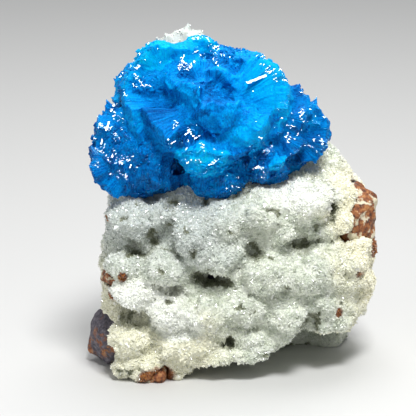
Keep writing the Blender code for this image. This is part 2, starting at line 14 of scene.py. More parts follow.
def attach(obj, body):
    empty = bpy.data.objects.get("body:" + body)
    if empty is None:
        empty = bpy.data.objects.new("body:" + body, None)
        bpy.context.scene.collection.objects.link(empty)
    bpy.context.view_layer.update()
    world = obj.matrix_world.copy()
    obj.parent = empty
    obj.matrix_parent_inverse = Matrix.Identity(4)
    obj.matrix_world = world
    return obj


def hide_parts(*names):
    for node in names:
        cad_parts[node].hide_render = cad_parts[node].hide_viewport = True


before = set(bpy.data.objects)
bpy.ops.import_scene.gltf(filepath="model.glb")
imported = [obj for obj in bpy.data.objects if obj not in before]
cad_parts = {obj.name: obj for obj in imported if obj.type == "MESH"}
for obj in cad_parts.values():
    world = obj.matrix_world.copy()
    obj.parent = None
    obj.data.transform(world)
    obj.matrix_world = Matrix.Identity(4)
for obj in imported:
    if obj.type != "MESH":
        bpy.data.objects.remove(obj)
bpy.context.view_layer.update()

MM = 0.001
UP = Vector((0.0, 0.0, 1.0))

# The front view: how far down the camera looks, what it looks at, the way back to it and its up
ELEVATION = math.radians(15.0)
VIEW_TARGET = np.array((-3.45, -6.0, 23.03))
VIEW_BACK = np.array((0.0, -math.cos(ELEVATION), math.sin(ELEVATION)))
VIEW_UP = np.array((0.0, math.sin(ELEVATION), math.cos(ELEVATION)))
# The camera's distance for the glints, and the main light's place, in millimetres
VIEW_DISTANCE = 319.0
KEY_PLACE = np.array((50.0, -200.0, 370.0))

# A fan: where it grows from, where it points, its length, how far it spreads in degrees, how many
# packets along an edge, how steep the packets' ends are, how flat it is, its tone and its kind
Fan = namedtuple("Fan", "apex axis reach spread cells tip flat tone silky")

# Each fan's tone is partly the blue's own colour and partly painted shading: darker for fans that
# lie in shade, lighter for lit ones
FANS = [Fan(row[:3], row[3:6], *row[6:]) for row in (
    # Left lobe with the glittering end, and the small-faceted lobe above it
    (-11.6, -4.9, 31.2, -0.8, -0.58, 0.04, 8.4, 84, 6, 0.16, 1.0, 0.27, 0.2),
    (-10.8, -1.9, 37.8, -0.7, -0.42, 0.37, 6.0, 78, 4, 0.3, 1.0, 0.56, 0.3),
    # Flat matte fans along the top left
    (-9.0, -6.4, 41.7, -0.54, -0.01, 0.81, 5.2, 48, 6, 0.1, 0.36, 0.76, 1.0),
    (-6.8, -6.0, 41.9, -0.02, 0.08, 0.98, 4.4, 40, 5, 0.12, 0.4, 0.66, 1.0),
    (-7.3, -5.8, 40.5, -0.1, -0.87, 0.44, 3.6, 80, 4, 0.22, 1.0, 0.46, 0.9),
    (-11.7, -4.8, 39.6, -0.35, -0.77, 0.52, 4.4, 80, 4, 0.26, 1.0, 0.46, 0.6),
    # Striated sheaf and the sparkling fans along the top right
    (-5.0, -4.2, 42.7, 0.25, 0.1, 0.96, 4.3, 42, 5, 0.12, 0.4, 0.76, 0.8),
    (-1.2, -4.2, 40.8, 0.05, -0.15, 0.97, 4.6, 62, 4, 0.22, 1.0, 0.46, 0.4),
    (0.8, -5.0, 40.5, 0.5, -0.03, 0.84, 4.9, 50, 5, 0.16, 0.45, 0.56, 0.7),
    # Middle, and the lobe beside it
    (-3.9, -6.7, 36.6, -0.05, -0.97, 0.16, 6.2, 84, 5, 0.3, 1.0, 0.36, 0.9),
    (-9.2, -6.5, 33.9, -0.1, -0.95, 0.15, 5.5, 74, 4, 0.3, 1.0, 0.36, 0.8),
    # Wide bright fan at the right, and the lobes under it
    (-1.2, -9.4, 38.1, 0.93, 0.18, 0.3, 9.4, 41, 8, 0.08, 0.32, 0.66, 0.9),
    (1.4, -9.3, 35.1, 0.1, -0.9, 0.29, 4.1, 82, 4, 0.14, 1.0, 0.56, 1.0),
    (4.0, -7.6, 35.9, 0.45, -0.8, 0.32, 3.8, 80, 4, 0.16, 1.0, 0.36, 0.9),
    # Blocky wedge at the bottom, and the blades below it
    (-4.0, -9.2, 34.0, -0.02, -0.77, -0.62, 6.0, 48, 5, 0.08, 0.5, 0.66, 0.7),
    (-2.5, -6.5, 29.9, 0.05, -0.44, -0.89, 5.8, 72, 5, 0.2, 1.0, 0.36, 0.2),
    # Right lobes with chisel tips
    (6.2, -4.3, 34.9, 0.4, -0.82, 0.3, 5.2, 78, 5, 0.34, 1.0, 0.36, 0.5),
    (8.8, -2.9, 33.2, 0.78, -0.48, 0.16, 4.8, 78, 5, 0.38, 1.0, 0.27, 0.5),
    # Lower right, the small light fan, and the underside of the left lobe, whose low tone is
    # painted shade
    (3.5, -6.1, 31.2, 0.35, -0.61, -0.66, 5.2, 76, 5, 0.26, 1.0, 0.27, 0.3),
    (7.2, -3.5, 31.2, 0.42, -0.52, -0.72, 4.0, 74, 4, 0.26, 1.0, 0.36, 0.3),
    (5.7, -5.0, 30.3, 0.15, -0.65, -0.7, 2.6, 40, 3, 0.12, 0.6, 0.76, 0.7),
    (-9.8, -5.3, 29.8, 0.1, -0.5, -0.86, 5.1, 74, 4, 0.2, 1.0, 0.27, 0.2),
    # Petals of the left half
    (-5.9, -6.9, 41.6, -0.62, -0.62, -0.48, 4.2, 44, 4, 0.2, 0.55, 0.56, 1.0),
    (-8.4, -7.9, 38.1, -0.88, -0.39, -0.27, 7.5, 30, 4, 0.14, 0.55, 0.46, 1.0),
    (-9.0, -6.7, 38.9, -0.99, 0.07, -0.13, 6.6, 28, 4, 0.14, 0.55, 0.36, 0.9),
    (-5.4, -10.4, 37.9, -0.81, -0.35, -0.46, 7.1, 27, 4, 0.16, 0.6, 0.36, 1.0),
    (-5.1, -11.0, 36.1, -0.69, -0.26, -0.68, 4.0, 38, 3, 0.2, 0.6, 0.27, 0.7),
    (-11.5, -7.3, 39.4, -0.79, 0.21, 0.57, 4.5, 36, 4, 0.24, 0.6, 0.56, 0.5),
    (-11.2, -7.1, 40.5, -0.63, 0.3, 0.72, 3.9, 34, 4, 0.24, 0.6, 0.56, 0.5),
    (-12.8, -9.8, 34.6, -0.91, 0.42, 0.03, 6.1, 34, 4, 0.2, 0.6, 0.36, 0.3),
    (-13.4, -10.8, 31.2, -0.8, 0.36, -0.49, 6.6, 36, 4, 0.14, 0.6, 0.27, 0.2),
    # Petals of the middle
    (-4.1, -9.0, 40.7, -0.57, -0.75, -0.35, 4.1, 42, 3, 0.2, 0.6, 0.46, 1.0),
    (-3.7, -10.1, 39.6, 0.23, -0.75, -0.62, 4.2, 40, 3, 0.24, 0.6, 0.36, 1.0),
    (-2.9, -9.1, 40.4, 0.6, 0.13, 0.79, 3.5, 38, 4, 0.2, 0.6, 0.56, 1.0),
    (-4.4, -8.6, 40.9, -0.18, 0.76, 0.63, 3.8, 36, 3, 0.2, 0.6, 0.56, 1.0),
    (-2.3, -10.6, 38.2, 0.69, -0.65, -0.33, 4.0, 38, 3, 0.2, 0.6, 0.46, 1.0),
    # Petals of the right half
    (-0.1, -9.3, 37.9, 0.99, -0.01, 0.16, 6.2, 26, 4, 0.12, 0.55, 0.66, 1.0),
    (-0.7, -9.9, 37.1, 0.89, -0.29, -0.35, 6.3, 29, 4, 0.12, 0.6, 0.56, 1.0),
    (-1.2, -10.5, 35.5, 0.63, -0.24, -0.73, 5.0, 34, 4, 0.14, 0.6, 0.27, 1.0),
    (-2.9, -11.0, 35.8, 0.5, -0.18, -0.84, 3.8, 34, 3, 0.18, 0.6, 0.46, 0.8),
    (4.8, -8.5, 38.0, 0.47, 0.81, 0.36, 5.0, 40, 4, 0.3, 0.6, 0.36, 0.7),
    (5.4, -8.5, 37.7, 0.82, 0.57, 0.08, 5.6, 32, 4, 0.3, 0.6, 0.36, 0.6),
    (5.9, -9.0, 36.4, 0.96, 0.23, -0.13, 4.3, 32, 4, 0.3, 0.6, 0.36, 0.5),
    (8.1, -7.1, 35.6, 0.77, 0.59, 0.26, 4.5, 36, 4, 0.34, 0.6, 0.46, 0.6),
    (9.0, -6.8, 34.4, 0.84, 0.52, -0.14, 5.1, 36, 4, 0.34, 0.6, 0.36, 0.5),
    (7.9, -7.3, 33.5, 0.77, 0.34, -0.53, 5.2, 34, 4, 0.3, 0.6, 0.27, 0.5),
    (5.7, -9.1, 34.4, 0.68, 0.31, -0.66, 4.4, 34, 4, 0.28, 0.6, 0.27, 0.5),
    # Small light fan under the right lobes
    (5.4, -9.6, 31.9, 0.2, -0.45, -0.87, 2.5, 34, 4, 0.16, 0.5, 0.76, 0.4),
)]
FAN_SEED = 100
# The way that flat fans face, which is about towards the camera
FAN_FRONT = Vector((0.0, -0.966, 0.259))
# A fan's core, as shares of its reach: under the packets, at the back, and its fall past them
FAN_CAP = 0.76
FAN_BACK = 0.36
FAN_FALL = 2.5
# How much shorter outer packets are, how far their edges wander, how uneven their lengths are
FAN_DROOP = 0.20
FAN_WANDER = 0.28
FAN_UNEVEN = 0.5
FAN_HIDES = 0.70  # share of the reach that hides other blades
CUT_WANDER = 0.28  # of the cuts across a packet's end

# Beams of a packet, in millimetres and shares
BEAM_WIDTH = 0.55
BEAM_FOOT = 0.22  # of the reach
BEAM_SHORT = 0.10  # at most
BEAM_SCATTER = 0.04
BEAM_OVERLAP = 0.10

# Blades, in millimetres and shares
BLADE_WIDTH = 0.50
BLADE_DEPTH = 0.28
BLADE_FOOT = 0.75  # of the length
BLADE_FIT = (0.85, 1.2)  # number, against what fits
BLADE_SHARE = 0.04  # that stands
BLADE_GLASSY = 0.40  # more in glassy fans
BLADE_SPARKLE = 0.25  # more in sparkles
BLADE_RISE = (0.05, 0.04)  # with its scatter
BLADE_PROUD_SHARE = 0.05  # stands higher
BLADE_PROUD = 0.25  # by this at most
BLADE_SWING = 0.22  # slope of the end
BLADE_SHOULDER = (0.15, 0.7)  # depth, of the width
BLADE_RIDGE = (0.25, 0.75)  # place of the edge
BLADE_EDGE = (0.55, 0.95)  # length of the edge
BLADE_BURIED = 0.25  # depth in the crust that hides one
# How open the blades count as, for the painted shade
BLADE_PAINTED_SHADE_OPEN = 0.9

# How far a shade moves the tone, and how much the shades of beams and blades scatter
SHADE_STEP = 0.06
BEAM_SHADE = 0.3
BLADE_SHADE = 0.6

# The fused body, in millimetres and shares
BODY_VOXEL = 0.19
PIT_WIDTH = 0.38  # half that of the widest pit closed
FILL_ROUNDS = 8
EVEN_ROUNDS = 1
RELAX_STEP = 0.6
FIBRES = ((1.0, 0.50, 1.0), (0.7, 0.24, 2.0))  # share, spacing and seed
FIBRE_HEIGHT = 0.10
BODY_BURIED = 0.5  # most depth in the crust
# Rays and their reach that find how open the body is, for its painted shade
BODY_RAYS = 9
BODY_SIGHT = 3.5
GRAIN_SLANT = 0.7  # share of z that goes with y

# Corners of a closed form: 0 to 3 at its foot, 4 to 7 at its shoulder, 8 and 9 along a blade's edge
SIDES = ((0, 1, 5), (0, 5, 4), (1, 2, 6), (1, 6, 5), (2, 3, 7), (2, 7, 6), (3, 0, 4), (3, 4, 7))
BEAM_TRIANGLES = np.array([*SIDES, (4, 5, 6), (4, 6, 7), (0, 2, 1), (0, 3, 2)])
BLADE_TRIANGLES = np.array([
    *SIDES, (4, 5, 9), (4, 9, 8), (6, 7, 8), (6, 8, 9), (5, 6, 9), (7, 4, 8),
])
SQUARE = ((-1, -1), (1, -1), (1, 1), (-1, 1))


def linked(name, data):
    """A new object in the scene."""
    obj = bpy.data.objects.new(name, data)
    bpy.context.scene.collection.objects.link(obj)
    return obj


def mesh_piece(name, points, triangles):
    """An object from arrays of points in millimetres and of triangles."""
    mesh = bpy.data.meshes.new(name)
    mesh.vertices.add(len(points))
    mesh.vertices.foreach_set("co", np.ascontiguousarray(points * MM, np.float32).ravel())
    mesh.loops.add(3 * len(triangles))
    mesh.loops.foreach_set("vertex_index", np.ascontiguousarray(triangles, np.int32).ravel())
    mesh.polygons.add(len(triangles))
    mesh.polygons.foreach_set("loop_start", np.arange(0, 3 * len(triangles), 3, dtype=np.int32))
    mesh.update(calc_edges=True)
    mesh.shade_flat()
    return linked(name, mesh)


def unit(vectors):
    """The vectors, each with a length of 1."""
    return vectors / np.linalg.norm(vectors, axis=-1, keepdims=True)


def fan_packets(fan, seed):
    """A fan's packets, each as corner rays, middle ray, the way its end faces and length, then the
    cap that they stand on and the turn that puts the fan in its place."""
    rng = random.Random(seed)
    axis = Vector(fan.axis).normalized()
    roll = Matrix.Rotation(rng.uniform(0.0, math.pi), 3, "Z")
    turn = UP.rotation_difference(axis).to_matrix() @ roll
    front = turn.transposed() @ (FAN_FRONT - axis * FAN_FRONT.dot(axis))
    squeeze = Matrix.Scale(fan.flat, 3, front.normalized())
    loosen = squeeze.inverted()
    bm = bmesh.new()
    bmesh.ops.create_cube(bm, size=2.0)
    bmesh.ops.subdivide_edges(bm, edges=bm.edges[:], cuts=fan.cells - 1, use_grid_fill=True)
    wander = FAN_WANDER / fan.cells
    widest = math.radians(fan.spread)
    for vert in bm.verts:
        shake = Vector([rng.uniform(-wander, wander) for _ in range(3)])
        ray = vert.co.normalized() + shake
        past = max(0.0, ray.angle(UP) / widest - 1.0)
        share = max(FAN_BACK * fan.flat, FAN_CAP - FAN_FALL * past)
        vert.co = (squeeze @ ray).normalized() * fan.reach * share
    core = np.array([vert.co for vert in bm.verts])
    core_faces = np.array([[vert.index for vert in face.verts] for face in bm.faces])
    facing = [f for f in bm.faces if (loosen @ f.calc_center_median()).angle(UP) < widest]
    packets = []
    for face in bmesh.ops.extrude_discrete_faces(bm, faces=facing)["faces"]:
        middle = face.calc_center_median().normalized()
        off_axis = middle.angle(UP) / widest
        shorter = FAN_UNEVEN * fan.tip * rng.random()
        length = fan.reach * (1.0 - FAN_DROOP * off_axis**2) * (1.0 - shorter)
        lean = Vector([rng.uniform(-fan.tip, fan.tip) for _ in range(3)])
        # The solid's fan draws how slim the packet is here
        rng.random()
        rays = [tuple(vert.co.normalized()) for vert in face.verts]
        end = (middle + lean).normalized()
        packets.append((np.array(rays), np.array(middle), np.array(end), length))
    bm.free()
    return packets, core, core_faces, np.array(turn)


def cut_grid(rng, parts_u, parts_v):
    """Corners of a grid of cells in the unit square, with its inner points moved about."""
    places = np.linspace(0, 1, parts_u + 1), np.linspace(0, 1, parts_v + 1)
    u, v = np.meshgrid(*places, indexing="ij")
    u[1:-1] += rng.uniform(-CUT_WANDER, CUT_WANDER, u[1:-1].shape) / parts_u
    v[:, 1:-1] += rng.uniform(-CUT_WANDER, CUT_WANDER, v[:, 1:-1].shape) / parts_v
    order = ((0, 0), (1, 0), (1, 1), (0, 1))
    pick = [(slice(i, parts_u + i), slice(j, parts_v + j)) for i, j in order]
    return [np.stack([grid[part].ravel() for part in pick], axis=1) for grid in (u, v)]


def rays_and_level(packet, u, v):
    """Rays through places on a packet's end, and how far along them its plane end lies."""
    rays, middle, facing, length = packet
    weights = np.stack([(1 - u) * (1 - v), u * (1 - v), u * v, (1 - u) * v], axis=-1)
    rays_at = unit(weights @ rays)
    return rays_at, length * (middle @ facing) / (rays_at @ facing)


def packet_size(packet):
    """A packet's two widths at its end, in millimetres."""
    rays, _, _, length = packet
    return np.linalg.norm(rays[1] - rays[0]) * length, np.linalg.norm(rays[2] - rays[1]) * length


def packet_beams(rng, fan, packet):
    """A packet cut into a few closed beams of uneven length: corners (N, 8, 3) from the apex."""
    size_u, size_v = packet_size(packet)
    u, v = cut_grid(rng, max(1, round(size_u / BEAM_WIDTH)), max(1, round(size_v / BEAM_WIDTH)))
    rays_at, level = rays_and_level(packet, u, v)
    shorter = BEAM_SHORT * rng.random((len(u), 1)) ** 2
    level = level * (1.0 - shorter) + rng.normal(0.0, BEAM_SCATTER, (len(u), 1))
    rays_at += (rays_at - rays_at.mean(axis=1, keepdims=True)) * BEAM_OVERLAP
    foot = rays_at * BEAM_FOOT * fan.reach
    return np.concatenate([foot, rays_at * level[..., None]], axis=1)


# Places where blade ends catch the light: across, up and radius, as seen from the front
SPARKLES = (
    (-18.2, 28.5, 2.6), (-17.4, 32.0, 3.0), (-16.4, 35.0, 2.4), (-15.4, 27.0, 2.4),
    (-14.8, 40.6, 2.8), (-12.6, 37.6, 2.0), (-12.4, 42.4, 1.6),
    (-6.6, 29.8, 3.0), (-2.4, 42.6, 2.6), (-5.0, 44.6, 1.6), (-6.4, 40.4, 1.4),
    (-3.4, 25.2, 3.6), (-1.0, 23.2, 3.2), (2.8, 26.0, 2.4), (3.6, 28.4, 1.8),
    (8.6, 30.2, 2.6), (9.4, 33.0, 2.2), (11.6, 29.2, 2.0), (4.4, 40.4, 2.0), (6.0, 38.2, 1.4),
)
# How much of y and of z is up, for them
SPARKLE_UP = (0.2588, 0.9659)


def sparkle_at(points):
    """How much the surface glitters at each point, from 0 to 1."""
    up = points[:, 1] * SPARKLE_UP[0] + points[:, 2] * SPARKLE_UP[1]
    spots = [1.0 - ((points[:, 0] - x) ** 2 + (up - v) ** 2) / r**2 for x, v, r in SPARKLES]
    return np.clip(np.max(spots, axis=0), 0.0, 1.0)


def packet_blades(rng, fan, packet, place):
    """Small sharp blades on a packet's end: corners (N, 10, 3) from the apex."""
    size_u, size_v = packet_size(packet)
    wide, deep = (BLADE_WIDTH, BLADE_DEPTH) if rng.random() < 0.5 else (BLADE_DEPTH, BLADE_WIDTH)
    parts_u = max(1, round(size_u / wide * rng.uniform(*BLADE_FIT)))
    parts_v = max(1, round(size_v / deep * rng.uniform(*BLADE_FIT)))
    u, v = cut_grid(rng, parts_u, parts_v)
    rays_at, level = rays_and_level(packet, u, v)
    cell_u, cell_v = size_u / parts_u, size_v / parts_v
    glitter = sparkle_at(place((rays_at * level[..., None]).mean(axis=1)))
    share = BLADE_SHARE + BLADE_GLASSY * (1.0 - fan.silky) + BLADE_SPARKLE * glitter**0.5
    kept = rng.random(len(u)) < share
    u, v, rays_at, level = u[kept], v[kept], rays_at[kept], level[kept]
    count = len(u)
    rise = rng.normal(*BLADE_RISE, count)
    rise += (rng.random(count) < BLADE_PROUD_SHARE) * rng.uniform(0.0, BLADE_PROUD, count)
    swing = rng.normal(0.0, BLADE_SWING, (2, count))
    corner_u = (u - u.mean(axis=1, keepdims=True)) * size_u
    corner_v = (v - v.mean(axis=1, keepdims=True)) * size_v
    level = level + rise[:, None] + corner_u * swing[0][:, None] + corner_v * swing[1][:, None]
    foot = rays_at * (level * BLADE_FOOT)[..., None]
    drop = np.minimum(cell_u, cell_v) * rng.uniform(*BLADE_SHOULDER, count)
    shoulder = rays_at * (level - drop[:, None])[..., None]
    # The upper edge runs along the broad side
    top = rays_at * level[..., None]
    along_u = cell_u > cell_v
    pairs = ((3, 0), (1, 2)) if along_u else ((0, 1), (2, 3))
    shift = rng.uniform(*BLADE_RIDGE, (2, count, 1))
    ends = [top[:, i] * shift[k] + top[:, j] * (1 - shift[k]) for k, (i, j) in enumerate(pairs)]
    centre = (ends[0] + ends[1]) / 2
    ends = [centre + (end - centre) * rng.uniform(*BLADE_EDGE, (count, 1)) for end in ends]
    if not along_u:
        foot, shoulder = np.roll(foot, -1, axis=1), np.roll(shoulder, -1, axis=1)
    return np.concatenate([foot, shoulder, ends[0][:, None], ends[1][:, None]], axis=1)


def repeated(triangles, corners):
    """The triangles of many like solids, whose corners follow one another."""
    count, size = corners.shape[:2]
    return (triangles[None] + size * np.arange(count)[:, None, None]).reshape(-1, 3)


def grow_fan(number):
    """One fan: its beams and blades with their shades, and its core."""
    fan = FANS[number]
    packets, core, core_faces, turn = fan_packets(fan, FAN_SEED + number)
    rng = np.random.default_rng(number)
    shades = rng.normal(0.0, 1.0, len(packets))

    def place(points):
        return points @ turn.T + fan.apex

    def shaded(parts, scatter):
        own = np.repeat(shades, [len(part) for part in parts])
        return place(np.concatenate(parts)), own + rng.normal(0.0, scatter, len(own))

    beams = [packet_beams(rng, fan, packet) for packet in packets]
    blades = [packet_blades(rng, fan, packet, place) for packet in packets]
    return shaded(beams, BEAM_SHADE), shaded(blades, BLADE_SHADE), (place(core), core_faces)


def inside_another(points, number):
    """Which points lie well inside the cap of another fan."""
    hidden = np.zeros(len(points), bool)
    for other, fan in enumerate(FANS):
        if other == number:
            continue
        away = points - fan.apex
        distance = np.linalg.norm(away, axis=1)
        axis = np.array(Vector(fan.axis).normalized())
        angle = np.degrees(np.arccos(np.clip(away @ axis / np.maximum(distance, 1e-9), -1, 1)))
        hidden |= (distance < FAN_HIDES * fan.reach) & (angle < fan.spread * fan.flat**2)
    return hidden


def tree_of(obj):
    """A search tree over an object's mesh, in metres."""
    return BVHTree.FromObject(obj, bpy.context.evaluated_depsgraph_get())


# The way in which a point looks for the surface that it may be under
AHEAD = Vector((0.0, -1.0, 0.1))


def depth_under(tree, points):
    """How far under a closed surface each point is, in millimetres, negative outside."""
    depths = np.empty(len(points))
    for i, point in enumerate(points * MM):
        start = Vector(point)
        _, normal, _, _ = tree.ray_cast(start, AHEAD)
        inside = normal is not None and normal.dot(AHEAD) > 0.0
        distance = tree.find_nearest(start)[3] / MM
        depths[i] = distance if inside else -distance
    return depths


def fuse(fans):
    """All fans fused into one fine skin, with the fan and the shade at each point."""
    points, triangles, owners, shades = [], [], [], []
    start = 0
    for number, ((beams, beam_shades), _, (core, core_faces)) in enumerate(fans):
        beam_triangles = repeated(BEAM_TRIANGLES, beams)
        core_triangles = np.concatenate([core_faces[:, [0, 1, 2]], core_faces[:, [0, 2, 3]]])
        beam_points = beams.reshape(-1, 3)
        points += [beam_points, core]
        triangles += [beam_triangles + start, core_triangles + start + len(beam_points)]
        owners.append(np.full(len(beam_triangles) + len(core_triangles), number))
        shades += [np.repeat(beam_shades, len(BEAM_TRIANGLES)), np.zeros(len(core_triangles))]
        start += len(beam_points) + len(core)
    body = mesh_piece("cavansite_body", np.concatenate(points), np.concatenate(triangles))
    parts = tree_of(body)
    # Out and back in again, which closes the narrow pits
    for offset in (PIT_WIDTH, -PIT_WIDTH):
        remesh(body, BODY_VOXEL)
        at, normals = points_of(body)
        set_points(body, at + normals * offset)
    relax(body)
    at, _ = points_of(body)
    nearest = np.array([parts.find_nearest(Vector(p * MM))[2] for p in at])
    return body, np.concatenate(owners)[nearest], np.concatenate(shades)[nearest]


def relax(obj):
    """Fills the pits of a skin, leaving its ridges, then evens all of it a little."""
    ends = read(obj.data.edges, "vertices", 2, np.int32)
    a, b = ends.T
    count = len(obj.data.vertices)
    degree = np.bincount(ends.ravel(), minlength=count)[:, None]
    for turn in range(FILL_ROUNDS + EVEN_ROUNDS):
        points, normals = points_of(obj)
        sums = [
            np.bincount(a, points[b, k], count) + np.bincount(b, points[a, k], count)
            for k in range(3)
        ]
        step = np.stack(sums, axis=1) / degree - points
        if turn < FILL_ROUNDS:
            step[(step * normals).sum(axis=1) < 0.0] = 0.0
        set_points(obj, points + RELAX_STEP * step)


def keep_points(obj, kept):
    """Removes the points that are not kept, with their faces."""
    bm = bmesh.new()
    bm.from_mesh(obj.data)
    bm.verts.ensure_lookup_table()
    bmesh.ops.delete(bm, geom=[bm.verts[i] for i in np.flatnonzero(~kept)], context="VERTS")
    bm.to_mesh(obj.data)
    bm.free()


def add_layers(obj, layers):
    """Writes point attributes: numbers, or vectors where there are three a point."""
    for layer, values in layers:
        form, key = ("FLOAT_VECTOR", "vector") if values.ndim == 2 else ("FLOAT", "value")
        made = obj.data.attributes.new(layer, form, "POINT")
        made.data.foreach_set(key, np.ascontiguousarray(values, np.float32).ravel())


def shade(obj, smooth):
    """Shades all faces smooth, or all flat."""
    polygons = obj.data.polygons
    polygons.foreach_set("use_smooth", np.full(len(polygons), smooth))


def of_fans(part, owner):
    """A value of the fan that each point belongs to."""
    return np.array([getattr(fan, part) for fan in FANS])[owner]


def along_fan(away, reach):
    """From the way out of a fan's apex: the point at its reach, and the place for the streaks."""
    distance = np.linalg.norm(away, axis=-1)
    ray = away / distance[..., None] * reach
    across = ray[..., 1] + GRAIN_SLANT * ray[..., 2]
    return ray, np.stack([ray[..., 0], across, distance], axis=-1)


def cavansite_body(fans, crust_tree):
    """The fused fans, with fibres along them, cut off where they are deep in the crust, and how
    open each point is, which the look turns into painted shade in their clefts.
    """
    body, owner, shades = fuse(fans)
    at, normals = points_of(body)
    ray, grain = along_fan(at - of_fans("apex", owner), of_fans("reach", owner)[:, None])
    set_points(body, at + normals * (FIBRE_HEIGHT * layered(relief, ray, FIBRES))[:, None])
    at, normals = points_of(body)
    kept = depth_under(crust_tree, at) <= BODY_BURIED
    keep_points(body, kept)
    owner = owner[kept]
    # How open each point is, for the painted shade in the clefts
    cleft_painted_shade_open = openness(tree_of(body), at[kept], normals[kept], BODY_RAYS, BODY_SIGHT)
    add_layers(body, (
        ("tone", of_fans("tone", owner) + SHADE_STEP * shades[kept]),
        ("grain", grain[kept]),
        ("painted_shade_open", cleft_painted_shade_open),
        ("silk", of_fans("silky", owner)),
    ))
    shade(body, True)
    return body


def cavansite_blades(fans, crust_tree):
    """The sharp blades that stand on the fans' ends."""
    points, tones_and_painted_shading, grains = [], [], []
    for number, (_, (blades, shades), _) in enumerate(fans):
        fan = FANS[number]
        tips = blades[:, 8:].mean(axis=1)
        keep = ~inside_another(tips, number)
        keep[keep] = depth_under(crust_tree, tips[keep]) < BLADE_BURIED
        blades = blades[keep]
        points.append(blades)
        tones_and_painted_shading.append(fan.tone + SHADE_STEP * shades[keep])
        grains.append(along_fan(blades - fan.apex, fan.reach)[1])
    points = np.concatenate(points)
    count, corners = points.shape[:2]
    obj = mesh_piece("cavansite_blades", points.reshape(-1, 3), repeated(BLADE_TRIANGLES, points))
    add_layers(obj, (
        ("tone", np.repeat(np.concatenate(tones_and_painted_shading), corners)),
        # The blades all get the same painted shade
        ("painted_shade_open", np.full(count * corners, BLADE_PAINTED_SHADE_OPEN)),
        ("grain", np.concatenate(grains).reshape(-1, 3)),
    ))
    return obj


# Long glints in the front view: start across and up, reach across and up, width, how far out
LONG_GLINTS = (
    (1.7, 37.4, 3.4, 1.4, 0.34, 0.5), (-8.6, 29.2, 1.2, 0.7, 0.14, 0.1),
    (-6.9, 30.2, 1.1, 0.8, 0.16, 0.1), (-5.3, 29.9, 0.9, 0.6, 0.12, 0.1),
    (-5.9, 25.0, 1.1, 0.6, 0.22, 0.1), (-4.2, 25.3, 1.4, 0.5, 0.24, 0.1),
    (-2.5, 25.0, 1.1, 0.5, 0.18, 0.1), (-2.9, 42.4, 1.0, 0.3, 0.14, 0.1),
    (-5.6, 41.6, 0.9, 0.4, 0.14, 0.1), (8.9, 33.0, 0.7, 0.7, 0.16, 0.1),
    (-17.9, 29.2, 0.3, 1.3, 0.22, 0.1), (-16.4, 27.4, 0.3, 1.0, 0.20, 0.1),
    (-17.2, 31.0, 0.4, 1.4, 0.24, 0.1), (-16.6, 33.6, 0.5, 1.2, 0.20, 0.1),
    (-14.0, 26.0, 0.3, 0.8, 0.16, 0.1), (-3.4, 26.4, 0.8, 0.3, 0.16, 0.1),
    (-6.4, 26.6, 0.7, 0.5, 0.14, 0.1), (-1.0, 25.9, 0.8, 0.4, 0.18, 0.1),
    (2.9, 26.0, 0.7, 0.5, 0.18, 0.1), (3.8, 28.2, 0.6, 0.4, 0.14, 0.1),
)


def mirror_normals(points):
    """The normal a face needs at each point to throw the main light at the camera."""
    eye = VIEW_TARGET + VIEW_BACK * VIEW_DISTANCE
    return unit(unit(KEY_PLACE - points) + unit(eye - points))


# Well in front of the specimen and near its front, in millimetres
FAR_FRONT = 100.0
NEAR_FRONT = 16.0


def seen_from_front(tree, x, v):
    """The point of a surface that shows at a place across and up in the front view."""
    place = np.array((x, 0.0, 0.0)) + VIEW_UP * v
    hit = tree.ray_cast(Vector((place + VIEW_BACK * FAR_FRONT) * MM), Vector(-VIEW_BACK))[0]
    if hit is None:
        hit = tree.find_nearest(Vector((place + VIEW_BACK * NEAR_FRONT) * MM))[0]
    return np.array(hit) / MM


# A facet, in millimetres and shares
FACET_DEPTH = 0.30
FACET_DEEPER = 0.4  # of its half length
FACET_FOOT = 0.8  # of its width
FACET_LIFT = 0.05


def glinting_facets(name, at, along, half_long, half_wide, wobble):
    """Small crystal ends, most of which are turned so that they flash at the camera."""
    aim = unit(mirror_normals(at) + wobble)
    # Lengthwise in the face, in the same direction as seen from the front
    depth = (along * aim).sum(axis=1) / (aim @ VIEW_BACK)
    along = unit(along - VIEW_BACK * depth[:, None])
    side = np.cross(aim, along)
    ring = [along * (half_long * s)[:, None] + side * (half_wide * t)[:, None] for s, t in SQUARE]
    foot = at - aim * (FACET_DEPTH + FACET_DEEPER * half_long)[:, None]
    face = at + aim * FACET_LIFT
    corners = np.stack([*[foot + r * FACET_FOOT for r in ring], *[face + r for r in ring]], axis=1)
    corners[..., 2] = np.maximum(corners[..., 2], 0.0)
    return mesh_piece(name, corners.reshape(-1, 3), repeated(BEAM_TRIANGLES, corners))


# Facets of the blue crystals, in millimetres and shares
GLITTER_SEED = 77
GLITTER_COUNT = 1000
GLITTER_MIDDLE = np.array((-2.0, -4.0, 36.0))  # they lie away from it
GLITTER_STRAY = 3.0
GLITTER_LONG = (0.05, 0.19)
GLITTER_WIDE = (0.03, 0.075)
GLITTER_LONGER = (0.08, 1.5)  # how many, and how much
GLITTER_WOBBLE = 0.045
GLITTER_FACING = (0.2, 0.4)  # least, in sparkles and elsewhere
GLITTER_ELSEWHERE = 0.008


